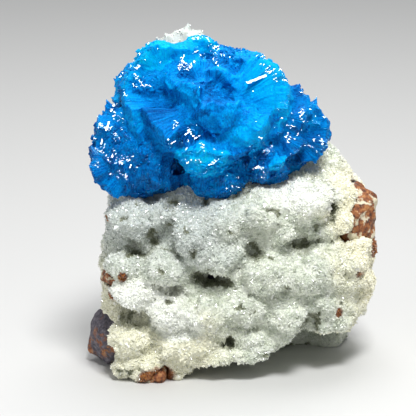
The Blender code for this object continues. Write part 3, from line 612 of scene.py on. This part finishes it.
def glitter_on(body):
    """Glinting facets where the blue crystals sparkle."""
    rng = np.random.default_rng(GLITTER_SEED)
    at, normals = points_of(body)
    facing = (normals * mirror_normals(at)).sum(axis=1)
    in_sparkles, elsewhere = (facing > least for least in GLITTER_FACING)
    weight = sparkle_at(at) ** 0.7 * in_sparkles + GLITTER_ELSEWHERE * elsewhere
    # They gather in clusters
    weight *= np.clip(0.15 + 2.2 * relief(at, 1.1, 6.6), 0.02, 1.0) ** 1.5
    chosen = rng.choice(len(at), GLITTER_COUNT, replace=False, p=weight / weight.sum())
    at = at[chosen]
    along = (at - GLITTER_MIDDLE) + rng.normal(0.0, GLITTER_STRAY, at.shape)
    along -= VIEW_BACK * (along @ VIEW_BACK)[:, None]
    half_long = rng.uniform(*GLITTER_LONG, len(at))
    share, longer = GLITTER_LONGER
    half_long = half_long * np.where(rng.random(len(at)) < share, longer, 1.0)
    half_wide = rng.uniform(*GLITTER_WIDE, len(at))
    wobble = rng.normal(0.0, GLITTER_WOBBLE, at.shape)
    # The few long ones
    tree = tree_of(body)
    bars = np.array(LONG_GLINTS)
    feet = [seen_from_front(tree, x + dx / 2, v + dv / 2) for x, v, dx, dv, _, _ in bars]
    lie = np.outer(bars[:, 2], (1.0, 0.0, 0.0)) + np.outer(bars[:, 3], VIEW_UP)
    return glinting_facets(
        "cavansite_glints",
        np.concatenate([at, np.array(feet) + VIEW_BACK * bars[:, 5:6]]),
        np.concatenate([along, lie]),
        np.concatenate([half_long, np.hypot(bars[:, 2], bars[:, 3]) / 2]),
        np.concatenate([half_wide, bars[:, 4] / 2]),
        np.concatenate([wobble, np.zeros((len(bars), 3))]),
    )


def make_cavansite(crust_tree):
    """The fused fans, their blades and their glints."""
    fans = [grow_fan(number) for number in range(len(FANS))]
    body = cavansite_body(fans, crust_tree)
    return body, cavansite_blades(fans, crust_tree), glitter_on(body)


def copy_of(node, name):
    """A new object with a copy of a CAD node's mesh."""
    obj = linked(name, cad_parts[node].data.copy())
    obj.data.materials.clear()
    bm = bmesh.new()
    bm.from_mesh(obj.data)
    bmesh.ops.remove_doubles(bm, verts=bm.verts, dist=1e-6)
    bm.to_mesh(obj.data)
    bm.free()
    return obj


def remesh(obj, voxel):
    """Gives the object one even, fine skin."""
    modifier = obj.modifiers.new("Even", "REMESH")
    modifier.mode = "VOXEL"
    modifier.voxel_size = voxel * MM
    bpy.context.view_layer.update()
    graph = bpy.context.evaluated_depsgraph_get()
    mesh = bpy.data.meshes.new_from_object(obj.evaluated_get(graph))
    obj.modifiers.clear()
    obj.data = mesh


def read(items, key, size, kind=np.float32):
    """A property of a mesh's points, edges or triangles, with so many numbers each."""
    values = np.empty(size * len(items), kind)
    items.foreach_get(key, values)
    return values.reshape(-1, size)


def points_of(obj):
    """The object's points and their normals, in millimetres."""
    points, normals = (read(obj.data.vertices, key, 3) for key in ("co", "normal"))
    return points.astype(float) / MM, normals.astype(float)


def set_points(obj, points):
    """Moves the object's points. Nothing goes below the floor."""
    points[:, 2] = np.maximum(points[:, 2], 0.0)
    obj.data.vertices.foreach_set("co", (points * MM).astype(np.float32).ravel())
    obj.data.update()


def relief(points, period, seed):
    """Smooth noise from -1 to 1 at each point."""
    shift = Vector((seed, 1.7 * seed, 2.3 * seed))
    return np.array([noise.noise(Vector(p) / period + shift) for p in points])


def knobs(points, period, seed):
    """Rounded bumps, 1 at the top of each and 0 between them."""
    shift = Vector((seed, 1.3 * seed, 2.9 * seed))
    found = np.array([noise.voronoi(Vector(p) / period + shift)[0][0] for p in points])
    return np.clip(1.0 - found**2 * 1.6, 0.0, 1.0)


def layered(form, points, rows):
    """The sum of several reliefs, each with its height, spacing and seed."""
    return sum(height * form(points, period, seed) for height, period, seed in rows)


# Rays that find how open a place is: seed, start off the surface, lean outwards
OPEN_SEED = 4
OPEN_LIFT = 0.25
OPEN_LEAN = 1.05


def openness(tree, points, normals, rays, reach):
    """The share of directions in which a point sees out."""
    rng = np.random.default_rng(OPEN_SEED)
    around = unit(rng.normal(size=(rays, 3)))
    result = np.empty(len(points))
    far = reach * MM
    for i, (point, normal) in enumerate(zip(points, normals)):
        start = Vector((point + OPEN_LIFT * normal) * MM)
        ways = (Vector(normal * OPEN_LEAN + way) for way in around)
        result[i] = sum(tree.ray_cast(start, way, far)[0] is None for way in ways) / rays
    return result


def zone(points, *places):
    """At each point, 1 in the middle of a place, falling to 0 at its edge."""
    away = [(((points - middle) / size) ** 2).sum(axis=1) for middle, size in places]
    return np.clip(1.0 - np.min(away, axis=0), 0.0, 1.0)


def fade(value, start, width):
    """Rises from 0 at the start to 1 over the width, and falls away if the width is negative."""
    return np.clip((value - start) / width, 0.0, 1.0)


# Where the crust is cream, white and stained, as middles and half sizes
# At the right foot the cream is partly the slab's colour and partly painted light on a place the
# overhang shades
CREAM_PAINTED_LIGHT_FOOT = ((13.0, -10.0, 3.0), (6.0, 8.0, 3.5))
WHITE_PLACES = (
    ((-12.5, -12.5, 12.2), (7.0, 6.0, 3.0)),
    ((-7.6, -12.0, 8.6), (4.5, 5.0, 3.0)),
    ((9.0, -9.0, 25.5), (7.0, 5.0, 2.6)),
)
STAINED_PLACES = (
    ((-15.1, -11.0, 15.3), (0.8, 4.0, 1.3)),
    ((-16.6, -9.5, 12.0), (0.8, 4.0, 1.1)),
    ((-17.2, -7.0, 22.6), (0.8, 4.0, 0.8)),
    ((17.2, -5.0, 14.6), (1.1, 5.0, 1.5)),
    ((14.6, -7.0, 8.9), (0.8, 4.0, 1.0)),
    ((20.2, -4.0, 17.6), (1.2, 6.0, 3.2)),
    ((-2.6, 2.0, 44.2), (0.9, 4.0, 0.7)),
    ((-10.6, -11.5, 0.6), (3.0, 5.0, 2.0)),
)

# Hollows of the crust's front: across, up, half width and half height
HOLLOWS = (
    (-8.3, 20.9, 1.6, 1.4), (-3.7, 21.4, 0.7, 0.8), (-10.6, 16.8, 1.2, 1.1),
    (-13.5, 14.4, 2.2, 0.6), (-3.0, 10.9, 3.3, 1.3), (-14.4, 6.4, 1.3, 1.2),
    (-0.5, 2.2, 1.5, 1.4), (11.0, 5.6, 2.4, 1.6), (2.6, 15.0, 1.2, 1.4),
    (13.6, 20.6, 0.6, 3.2), (10.5, 16.0, 4.4, 0.9), (-9.6, 12.4, 0.9, 0.9),
    (-0.6, 17.4, 0.6, 1.2), (7.0, 9.6, 1.1, 0.7), (-15.2, 19.4, 1.2, 0.5),
    (4.6, 20.4, 1.6, 0.6), (15.6, 11.4, 0.8, 0.8), (0.6, 7.2, 1.3, 0.6),
    (-8.8, 8.0, 1.2, 0.6), (-5.6, 14.6, 0.8, 0.8),
)

# What makes them ragged and smaller, and how far back and past their rims they go
HOLLOW_RAGS = ((0.9, 1.5, 7.1), (0.5, 0.7, 3.3))
HOLLOW_LESS = 0.1
HOLLOW_BACK = 2.0
HOLLOW_RIM = -0.8


def hollow_at(points):
    """How far into a hollow of the crust's front each point is, from 0 to 1, with ragged edges."""
    up = points @ VIEW_UP
    spots = [1.0 - ((points[:, 0] - x) / w) ** 2 - ((up - v) / h) ** 2 for x, v, w, h in HOLLOWS]
    inside = np.max(spots, axis=0)
    ragged = layered(relief, points, HOLLOW_RAGS) - HOLLOW_LESS
    near = (points[:, 1] < HOLLOW_BACK) & (inside > HOLLOW_RIM)
    return np.clip(inside + ragged, 0.0, 1.0) * near


def crust_colour(points):
    """How cream, bluish, white and stained the crust is at each point, with cream at the right foot
    that is partly painted light.
    """
    x, _, z = points.T
    drift = relief(points, 4.0, 9.2) * 3.0
    right = fade(x + 0.25 * z + drift, 16.0, 5.0) * fade(z, 30.0, -4.0)
    low_left = fade(13.0 - z + 0.6 * drift - 0.35 * (x + 8.0), 0.0, 5.0) * fade(x, 2.0, -6.0)
    # Painted light: the right foot, shaded by the overhang, made paler with cream
    foot = np.clip(2.0 * zone(points, CREAM_PAINTED_LIGHT_FOOT), 0.0, 1.0)
    cream_and_painted_light = np.maximum(right, np.maximum(0.75 * low_left, foot))
    white = np.clip(2.0 * zone(points, *WHITE_PLACES), 0.0, 1.0)
    blue = fade(z - 14.0 + 0.5 * drift, 0.0, 6.0) * fade(3.0 - x + drift, 0.0, 5.0)
    near = zone(points, *STAINED_PLACES)
    stained = (near + 0.25 * relief(points, 0.9, 4.4)) * np.clip(8.0 * near, 0.0, 1.0)
    return {
        "cream_and_painted_light": cream_and_painted_light * (1.0 - white),
        "blue": blue * (1.0 - white),
        "white": white,
        "rust": np.clip(3.0 * stained, 0.0, 1.0),
    }


# The crust's skin, in millimetres and shares. A relief is its height, spacing and seed
CRUST_VOXEL = 0.31
CRUST_KNOBS = ((0.42, 1.6, 3.0), (0.17, 0.75, 8.0))
CRUST_WAVES = ((0.30, 2.6, 5.0),)
CRUST_LEVEL = 0.20
PEAK_TOP = 45.5  # the relief fades towards it
PEAK_FADE = 3.0
PEAK_SHARE = 0.15  # is left
# The hollows and the low places between the knobs get painted shade: less open, so darker and olive
HOLLOW_DEPTH = 0.5
HOLLOW_PAINTED_SHADE = 0.20
DIP_LEVEL = 0.30  # what is lower is darker
DIP_PAINTED_SHADE = 0.6
# Rays and their reach that find how open the skin is, for its painted shade
CRUST_RAYS = 7
CRUST_SIGHT = 9.0


def make_crust():
    """The crust's skin, uneven at the scale of its grains, and how open each point of it is, less
    so in its hollows and dips for their painted shade.
    """
    skin = copy_of("zeolite_crust", "crust_skin")
    coarse = tree_of(skin)
    remesh(skin, CRUST_VOXEL)
    points, normals = points_of(skin)
    lumps = layered(knobs, points, CRUST_KNOBS) + layered(relief, points, CRUST_WAVES)
    under_peak = np.clip((PEAK_TOP - points[:, 2]) / PEAK_FADE, PEAK_SHARE, 1.0)
    hollow = hollow_at(points)
    rise = (lumps - CRUST_LEVEL) * under_peak - HOLLOW_DEPTH * hollow
    set_points(skin, points + normals * rise[:, None])
    points, normals = points_of(skin)
    painted_shade_open_share = openness(coarse, points, normals, CRUST_RAYS, CRUST_SIGHT)
    # Painted shade: the hollows and the low places between the knobs count as less open, so darker
    painted_shade_open_share *= 1.0 - HOLLOW_PAINTED_SHADE * hollow
    painted_shade_open_share -= np.clip(DIP_LEVEL - lumps, 0.0, 0.5) * DIP_PAINTED_SHADE
    add_layers(skin, [("painted_shade_open", painted_shade_open_share), *crust_colour(points).items()])
    shade(skin, True)
    return skin, painted_shade_open_share


# Corners of a grain: four at its foot, one at its tip
GRAIN_TRIANGLES = np.array([(0, 1, 4), (1, 2, 4), (2, 3, 4), (3, 0, 4)])
# The druse, in millimetres and shares
DRUSE_PIECES = 2
DRUSE_COUNT = 42000  # in each
DRUSE_SEED = 50
DRUSE_OFF_ROCK = 0.55
DRUSE_OFF_FLOOR = 0.15
DRUSE_TOP = 44.0  # it thins out towards it
DRUSE_FADE = 2.0
DRUSE_LEAST = 0.05
GRAIN_LEAN = 0.42
GRAIN_WIDE = (math.log(0.115), 0.30)  # log of the half width, and spread
GRAIN_BROAD = (0.8, 1.4)  # of the width
GRAIN_TALL = (0.9, 2.5)  # of the width
GRAIN_SKEW = 0.4
GRAIN_FOOT = 0.06


def make_druse(skin, painted_shade_open_share, rock_tree, name, seed):
    """Tiny crystals that stand all over the crust's skin."""
    rng = np.random.default_rng(seed)
    count = DRUSE_COUNT
    skin.data.calc_loop_triangles()
    corners = read(skin.data.loop_triangles, "vertices", 3, np.int32)
    points, normals = points_of(skin)
    a, b, c = (points[corners[:, k]] for k in range(3))
    area = np.linalg.norm(np.cross(b - a, c - a), axis=1)
    away = np.array([rock_tree.find_nearest(Vector(p * MM))[3] / MM for p in points])
    bare = (away < DRUSE_OFF_ROCK) | (points[:, 2] < DRUSE_OFF_FLOOR)
    area[bare[corners].any(axis=1)] = 0.0
    area *= np.clip((DRUSE_TOP - points[corners[:, 0], 2]) / DRUSE_FADE, DRUSE_LEAST, 1.0)
    chosen = rng.choice(len(corners), count, p=area / area.sum())
    weights = rng.dirichlet((1.0, 1.0, 1.0), count)
    foot = np.einsum("nk,nkx->nx", weights, points[corners[chosen]])
    normal = np.einsum("nk,nkx->nx", weights, normals[corners[chosen]])
    # How open each grain's foot is, for its painted shade
    grain_painted_shade_open = np.einsum("nk,nk->n", weights, painted_shade_open_share[corners[chosen]])
    axis = unit(unit(normal) + rng.normal(0.0, GRAIN_LEAN, (count, 3)))
    side = unit(np.cross(axis, rng.normal(size=(count, 3))))
    other = np.cross(axis, side)
    wide = rng.lognormal(*GRAIN_WIDE, count)
    broad = wide * rng.uniform(*GRAIN_BROAD, count)
    tall = wide * rng.uniform(*GRAIN_TALL, count)
    ring = [side * (wide * s)[:, None] + other * (broad * t)[:, None] for s, t in SQUARE]
    skew = (side + other) * rng.uniform(-GRAIN_SKEW, GRAIN_SKEW, (count, 1)) * wide[:, None]
    tip = foot + axis * tall[:, None] + skew
    grains = np.stack([*[foot - axis * GRAIN_FOOT + r for r in ring], tip], axis=1)
    grains[..., 2] = np.maximum(grains[..., 2], 0.0)
    # A random number for each grain, which picks the grains with a painted glint
    layers = [("painted_shade_open", grain_painted_shade_open), ("painted_glint", rng.random(count)), *crust_colour(foot).items()]
    obj = mesh_piece(name, grains.reshape(-1, 3), repeated(GRAIN_TRIANGLES, grains))
    add_layers(obj, [(layer, np.repeat(values, grains.shape[1])) for layer, values in layers])
    return obj


# Facets on the crust, in millimetres
FROST_SEED = 78
FROST_COUNT = 700
FROST_HALF = (0.03, 0.09)
FROST_WOBBLE = 0.06
FROST_LIFT = 0.12


def frost_on(skin, painted_shade_open_share):
    """Glinting facets scattered over the crust."""
    rng = np.random.default_rng(FROST_SEED)
    at, normals = points_of(skin)
    facing = (normals * mirror_normals(at)).sum(axis=1)
    weight = np.clip(facing - 0.2, 0.0, 1.0) * np.clip(painted_shade_open_share - 0.2, 0.0, 1.0)
    chosen = rng.choice(len(at), FROST_COUNT, replace=False, p=weight / weight.sum())
    along = rng.normal(size=(FROST_COUNT, 3))
    half = rng.uniform(*FROST_HALF, FROST_COUNT)
    wobble = rng.normal(0.0, FROST_WOBBLE, (FROST_COUNT, 3))
    at = at[chosen] + normals[chosen] * FROST_LIFT
    return glinting_facets("zeolite_glints", at, along, half, half, wobble)


# Where the rock is rustiest
RUSTY_PLACES = (
    ((-10.6, -12.0, 1.0), (5.0, 7.0, 4.0)),
    ((18.5, -5.0, 21.0), (5.0, 8.0, 7.0)),
    ((17.0, -6.0, 14.2), (3.0, 5.0, 3.0)),
    ((-18.0, -5.0, 14.0), (3.5, 6.0, 3.0)),
)

# The rock's skin, in millimetres
ROCK_VOXEL = 0.32
ROCK_WAVES = ((0.28, 2.2, 2.0), (0.20, 0.8, 6.0))
ROCK_CHIPS = (0.30, 2.6, 4.0)
ROCK_CHIP_POWER = 6
ROCK_OUT = 0.12


def make_basalt():
    """The rock, with a rough broken surface that reaches the crust all round."""
    rock = copy_of("basalt_matrix", "basalt_rock")
    remesh(rock, ROCK_VOXEL)
    points, normals = points_of(rock)
    depth, period, seed = ROCK_CHIPS
    chips = depth * knobs(points, period, seed) ** ROCK_CHIP_POWER
    rough = layered(relief, points, ROCK_WAVES) - chips
    set_points(rock, points + normals * (rough + ROCK_OUT)[:, None])
    add_layers(rock, [("rusty", np.clip(1.6 * zone(points, *RUSTY_PLACES), 0.0, 1.0))])
    shade(rock, False)
    return rock


class Nodes:
    """Builds a material's node tree with short calls."""

    def __init__(self, name):
        self.material = bpy.data.materials.new(name)
        self.material.use_nodes = True
        self.tree = self.material.node_tree
        self.shader = self.tree.nodes["Principled BSDF"]

    def put(self, socket, value):
        if isinstance(value, bpy.types.NodeSocket):
            self.tree.links.new(value, socket)
        else:
            socket.default_value = (*value, 1.0) if socket.type == "RGBA" else value

    def set(self, **values):
        for key, value in values.items():
            self.put(self.shader.inputs[key.replace("_", " ")], value)

    def add(self, kind, output, inputs=(), **settings):
        node = self.tree.nodes.new(kind)
        for key, value in settings.items():
            setattr(node, key, value)
        for socket, value in dict(inputs).items():
            self.put(node.inputs[socket], value)
        return node.outputs[output]

    def attribute(self, name, output="Fac"):
        return self.add("ShaderNodeAttribute", output, attribute_name=name)

    def place(self):
        return self.add("ShaderNodeTexCoord", "Object")

    def math(self, operation, a, b):
        return self.add("ShaderNodeMath", 0, {0: a, 1: b}, operation=operation)

    def noise(self, vector, scale, detail=3.0, roughness=0.55):
        inputs = {"Vector": vector, "Scale": scale, "Detail": detail, "Roughness": roughness}
        return self.add("ShaderNodeTexNoise", "Fac", inputs)

    def mix(self, factor, a, b):
        return self.add("ShaderNodeMix", 2, {0: factor, 6: a, 7: b}, data_type="RGBA")

    def span(self, value, low, high, to_low=0.0, to_high=1.0):
        ends = {"From Min": low, "From Max": high, "To Min": to_low, "To Max": to_high}
        return self.add("ShaderNodeMapRange", "Result", {"Value": value, **ends})

    def bump(self, height, distance, strength):
        inputs = {"Strength": strength, "Distance": distance, "Height": height}
        return self.add("ShaderNodeBump", "Normal", inputs)

    def ramp(self, factor, stops):
        colour = self.add("ShaderNodeValToRGB", "Color", {"Fac": factor})
        elements = colour.node.color_ramp.elements
        while len(elements) < len(stops):
            elements.new(0.5)
        for element, (position, shade_there) in zip(elements, stops):
            element.position = position
            element.color = (*shade_there, 1.0)
        return colour


def cavansite_look(name, sharp):
    """Blue crystal: silky streaks along the fans, and painted shade: lighter where it stands out,
    deep in clefts.
    """
    n = Nodes(name)
    grain = {"Vector": n.attribute("grain", "Vector"), "Scale": (4.0, 4.0, 0.35)}
    streaks = n.noise(n.add("ShaderNodeMapping", "Vector", grain), 1.0, 3.0)
    speckle = n.noise(n.place(), 4200.0, 2.0, 0.6)
    # The tone holds painted shading along with the blue's own shade
    value = n.math("ADD", n.attribute("tone"), n.span(streaks, 0.32, 0.68, -0.13, 0.13))
    value = n.math("ADD", value, n.span(speckle, 0.35, 0.65, -0.08, 0.08))
    # Painted shade: darker where a point sees out less, lighter where it stands out
    value = n.math("ADD", value, n.span(n.attribute("painted_shade_open"), 0.2, 1.0, -0.46, 0.10))
    colour = n.ramp(value, (
        (0.0, (0.0, 0.01, 0.06)),
        (0.25, (0.0, 0.07, 0.29)),
        (0.50, (0.0, 0.19, 0.58)),
        (0.75, (0.0, 0.35, 0.79)),
        (1.0, (0.0, 0.50, 0.87)),
    ))
    n.set(
        Base_Color=colour,
        Subsurface_Weight=0.3,
        Subsurface_Scale=0.0010,
        Subsurface_Radius=(0.10, 0.50, 1.0),
        Normal=n.bump(n.math("ADD", streaks, speckle), 0.00009, 0.8),
    )
    if sharp:
        n.set(Roughness=0.15, IOR=1.50, Specular_Tint=(0.3, 0.7, 1.0))
    else:
        silky = n.span(n.attribute("silk"), 0.0, 1.0, 0.42, 0.60)
        n.set(Roughness=silky, IOR=1.30, Specular_Tint=(0.08, 0.55, 1.0))
    return n.material


def facet_look(name, colour):
    """Plane crystal faces with a glassy shine."""
    n = Nodes(name)
    n.set(Base_Color=colour, Roughness=0.06, IOR=1.45)
    return n.material


def crust_look(name, glassy):
    """Pale zeolite: green-white, cream towards the right and lower left, painted olive shade in
    hollows.
    """
    n = Nodes(name)
    place = n.place()
    mottle = n.span(n.noise(place, 700.0, 3.0), 0.38, 0.62)
    colour = n.mix(mottle, (0.60, 0.65, 0.53), (0.84, 0.87, 0.76))
    colour = n.mix(n.math("MULTIPLY", n.attribute("blue"), 0.75), colour, (0.56, 0.61, 0.59))
    # Cream, which at the right foot is partly painted light
    colour = n.mix(n.attribute("cream_and_painted_light"), colour, (0.92, 0.89, 0.68))
    colour = n.mix(n.attribute("white"), colour, (0.90, 0.92, 0.84))
    if glassy:
        # Painted highlight: a quarter of the grains, at random, painted near white as glints
        painted_glint = n.span(n.attribute("painted_glint"), 0.75, 1.0, 0.0, 0.6)
        colour = n.mix(painted_glint, colour, (0.97, 0.98, 0.96))
    # Painted shade: dark olive where a point sees out less
    hidden = n.span(n.attribute("painted_shade_open"), 0.10, 0.75, 0.90, 0.0)
    colour = n.mix(hidden, colour, (0.19, 0.205, 0.12))
    stain = n.ramp(n.noise(place, 1500.0, 4.0, 0.6), (
        (0.30, (0.045, 0.022, 0.012)), (0.50, (0.24, 0.075, 0.02)), (0.70, (0.52, 0.23, 0.06))))
    n.set(
        Base_Color=n.mix(n.attribute("rust"), colour, stain),
        Roughness=0.12 if glassy else 0.5,
        IOR=1.50,
        Subsurface_Weight=0.2,
        Subsurface_Scale=0.0006,
        Subsurface_Radius=(1.0, 1.0, 0.8),
    )
    if glassy:
        n.set(Coat_Weight=0.5, Coat_Roughness=0.04)
    else:
        n.set(Normal=n.bump(n.noise(place, 4500.0, 4.0), 0.00008, 0.7))
    return n.material


def basalt_look():
    """Purple-grey rock with orange-brown stains, and pale specks where it is rusty."""
    n = Nodes("basalt")
    place = n.place()
    rusty = n.attribute("rusty")
    fine = n.noise(place, 1900.0, 5.0, 0.65)
    grey = n.ramp(fine, (
        (0.30, (0.034, 0.03, 0.04)), (0.55, (0.105, 0.094, 0.118)), (0.75, (0.23, 0.215, 0.235))))
    rust = n.ramp(n.noise(place, 1300.0, 5.0, 0.7), (
        (0.36, (0.035, 0.018, 0.014)), (0.50, (0.26, 0.08, 0.025)), (0.68, (0.52, 0.26, 0.09))))
    stain = n.math("ADD", n.noise(place, 420.0, 6.0, 0.68), n.math("MULTIPLY", rusty, 0.26))
    colour = n.mix(n.span(stain, 0.54, 0.63), grey, rust)
    pale = n.math("MULTIPLY", n.noise(place, 800.0, 5.0, 0.6), rusty)
    colour = n.mix(n.span(pale, 0.52, 0.58), colour, (0.66, 0.60, 0.44))
    n.set(
        Base_Color=colour,
        Roughness=n.span(fine, 0.3, 0.7, 0.85, 0.5),
        Normal=n.bump(fine, 0.00015, 0.8),
    )
    return n.material


def floor_look():
    """A plain pale surface."""
    n = Nodes("floor")
    n.set(Base_Color=(0.62, 0.62, 0.61), Roughness=0.6)
    return n.material


# Half the floor's width in metres
FLOOR_HALF = 1.5


def make_floor():
    bm = bmesh.new()
    bmesh.ops.create_grid(bm, x_segments=1, y_segments=1, size=FLOOR_HALF)
    mesh = bpy.data.meshes.new("floor")
    bm.to_mesh(mesh)
    bm.free()
    floor = linked("floor", mesh)
    floor.data.materials.append(floor_look())


# Lights: name, place and width in metres, and power in watts, then the place they point at
LIGHTS = (
    ("key", KEY_PLACE * MM, 0.10, 1.74),
    ("fill", (-0.30, -0.20, 0.14), 0.20, 0.22),
    ("top", (0.02, 0.10, 0.36), 0.22, 0.75),
)
LIT_PLACE = Vector((0.0, -0.002, 0.025))
ROOM_COLOUR = (0.80, 0.82, 0.85, 1.0)
ROOM_STRENGTH = 0.30


def make_lights():
    """A main light from high in front, a weak one from the left, one from above, and the room."""
    for name, where, width, power in LIGHTS:
        light = bpy.data.lights.new(name, "AREA")
        light.shape = "SQUARE"
        light.size = width
        light.energy = power
        obj = linked(name, light)
        obj.location = where
        obj.rotation_euler = (LIT_PLACE - Vector(where)).to_track_quat("-Z", "Y").to_euler()
    world = bpy.data.worlds.new("room")
    world.use_nodes = True
    background = world.node_tree.nodes["Background"]
    background.inputs["Color"].default_value = ROOM_COLOUR
    background.inputs["Strength"].default_value = ROOM_STRENGTH
    bpy.context.scene.world = world


# The picture's width in pixels, then a pixel, the lens and the sensor in millimetres
PICTURE = 416
PIXEL = 0.138
LENS = 200.0
SENSOR = 36.0


def make_camera():
    """A long lens that looks down a little at the front."""
    back = Vector(VIEW_BACK)
    data = bpy.data.cameras.new("camera")
    data.lens = LENS
    data.sensor_width = SENSOR
    data.clip_start = 0.01
    data.clip_end = 10.0
    camera = linked("camera", data)
    camera.location = Vector(VIEW_TARGET) * MM + back * (PICTURE * PIXEL * MM / SENSOR * LENS)
    camera.rotation_euler = (-back).to_track_quat("-Z", "Y").to_euler()
    bpy.context.scene.camera = camera


def dress(obj, look, slot, *nodes):
    """Gives a piece its material and its place in the frame."""
    obj.data.materials.clear()
    obj.data.materials.append(look)
    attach(obj, "root")
    if nodes:
        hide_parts(*nodes)


def main():
    crust_tree = tree_of(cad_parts["zeolite_crust"])
    rock = make_basalt()
    rock_tree = tree_of(rock)
    skin, painted_shade_open_share = make_crust()
    glassy = crust_look("zeolite_grains", True)
    for number in range(DRUSE_PIECES):
        grains = make_druse(skin, painted_shade_open_share, rock_tree, f"druse_{number}", DRUSE_SEED + number)
        dress(grains, glassy, "zeolite")
    frost = frost_on(skin, painted_shade_open_share)
    dress(frost, facet_look("zeolite_facet", (0.80, 0.84, 0.76)), "zeolite")
    dress(skin, crust_look("zeolite", False), "zeolite", "zeolite_crust")
    dress(rock, basalt_look(), "basalt", "basalt_matrix")
    body, blades, glints = make_cavansite(crust_tree)
    dress(glints, facet_look("cavansite_facet", (0.0, 0.30, 0.72)), "cavansite")
    dress(body, cavansite_look("cavansite_silk", False), "cavansite", "cavansite_cluster")
    dress(blades, cavansite_look("cavansite_blade", True), "cavansite", "cavansite_cluster")
    make_floor()
    make_lights()
    make_camera()
    bpy.context.scene.view_settings.view_transform = "Standard"


main()
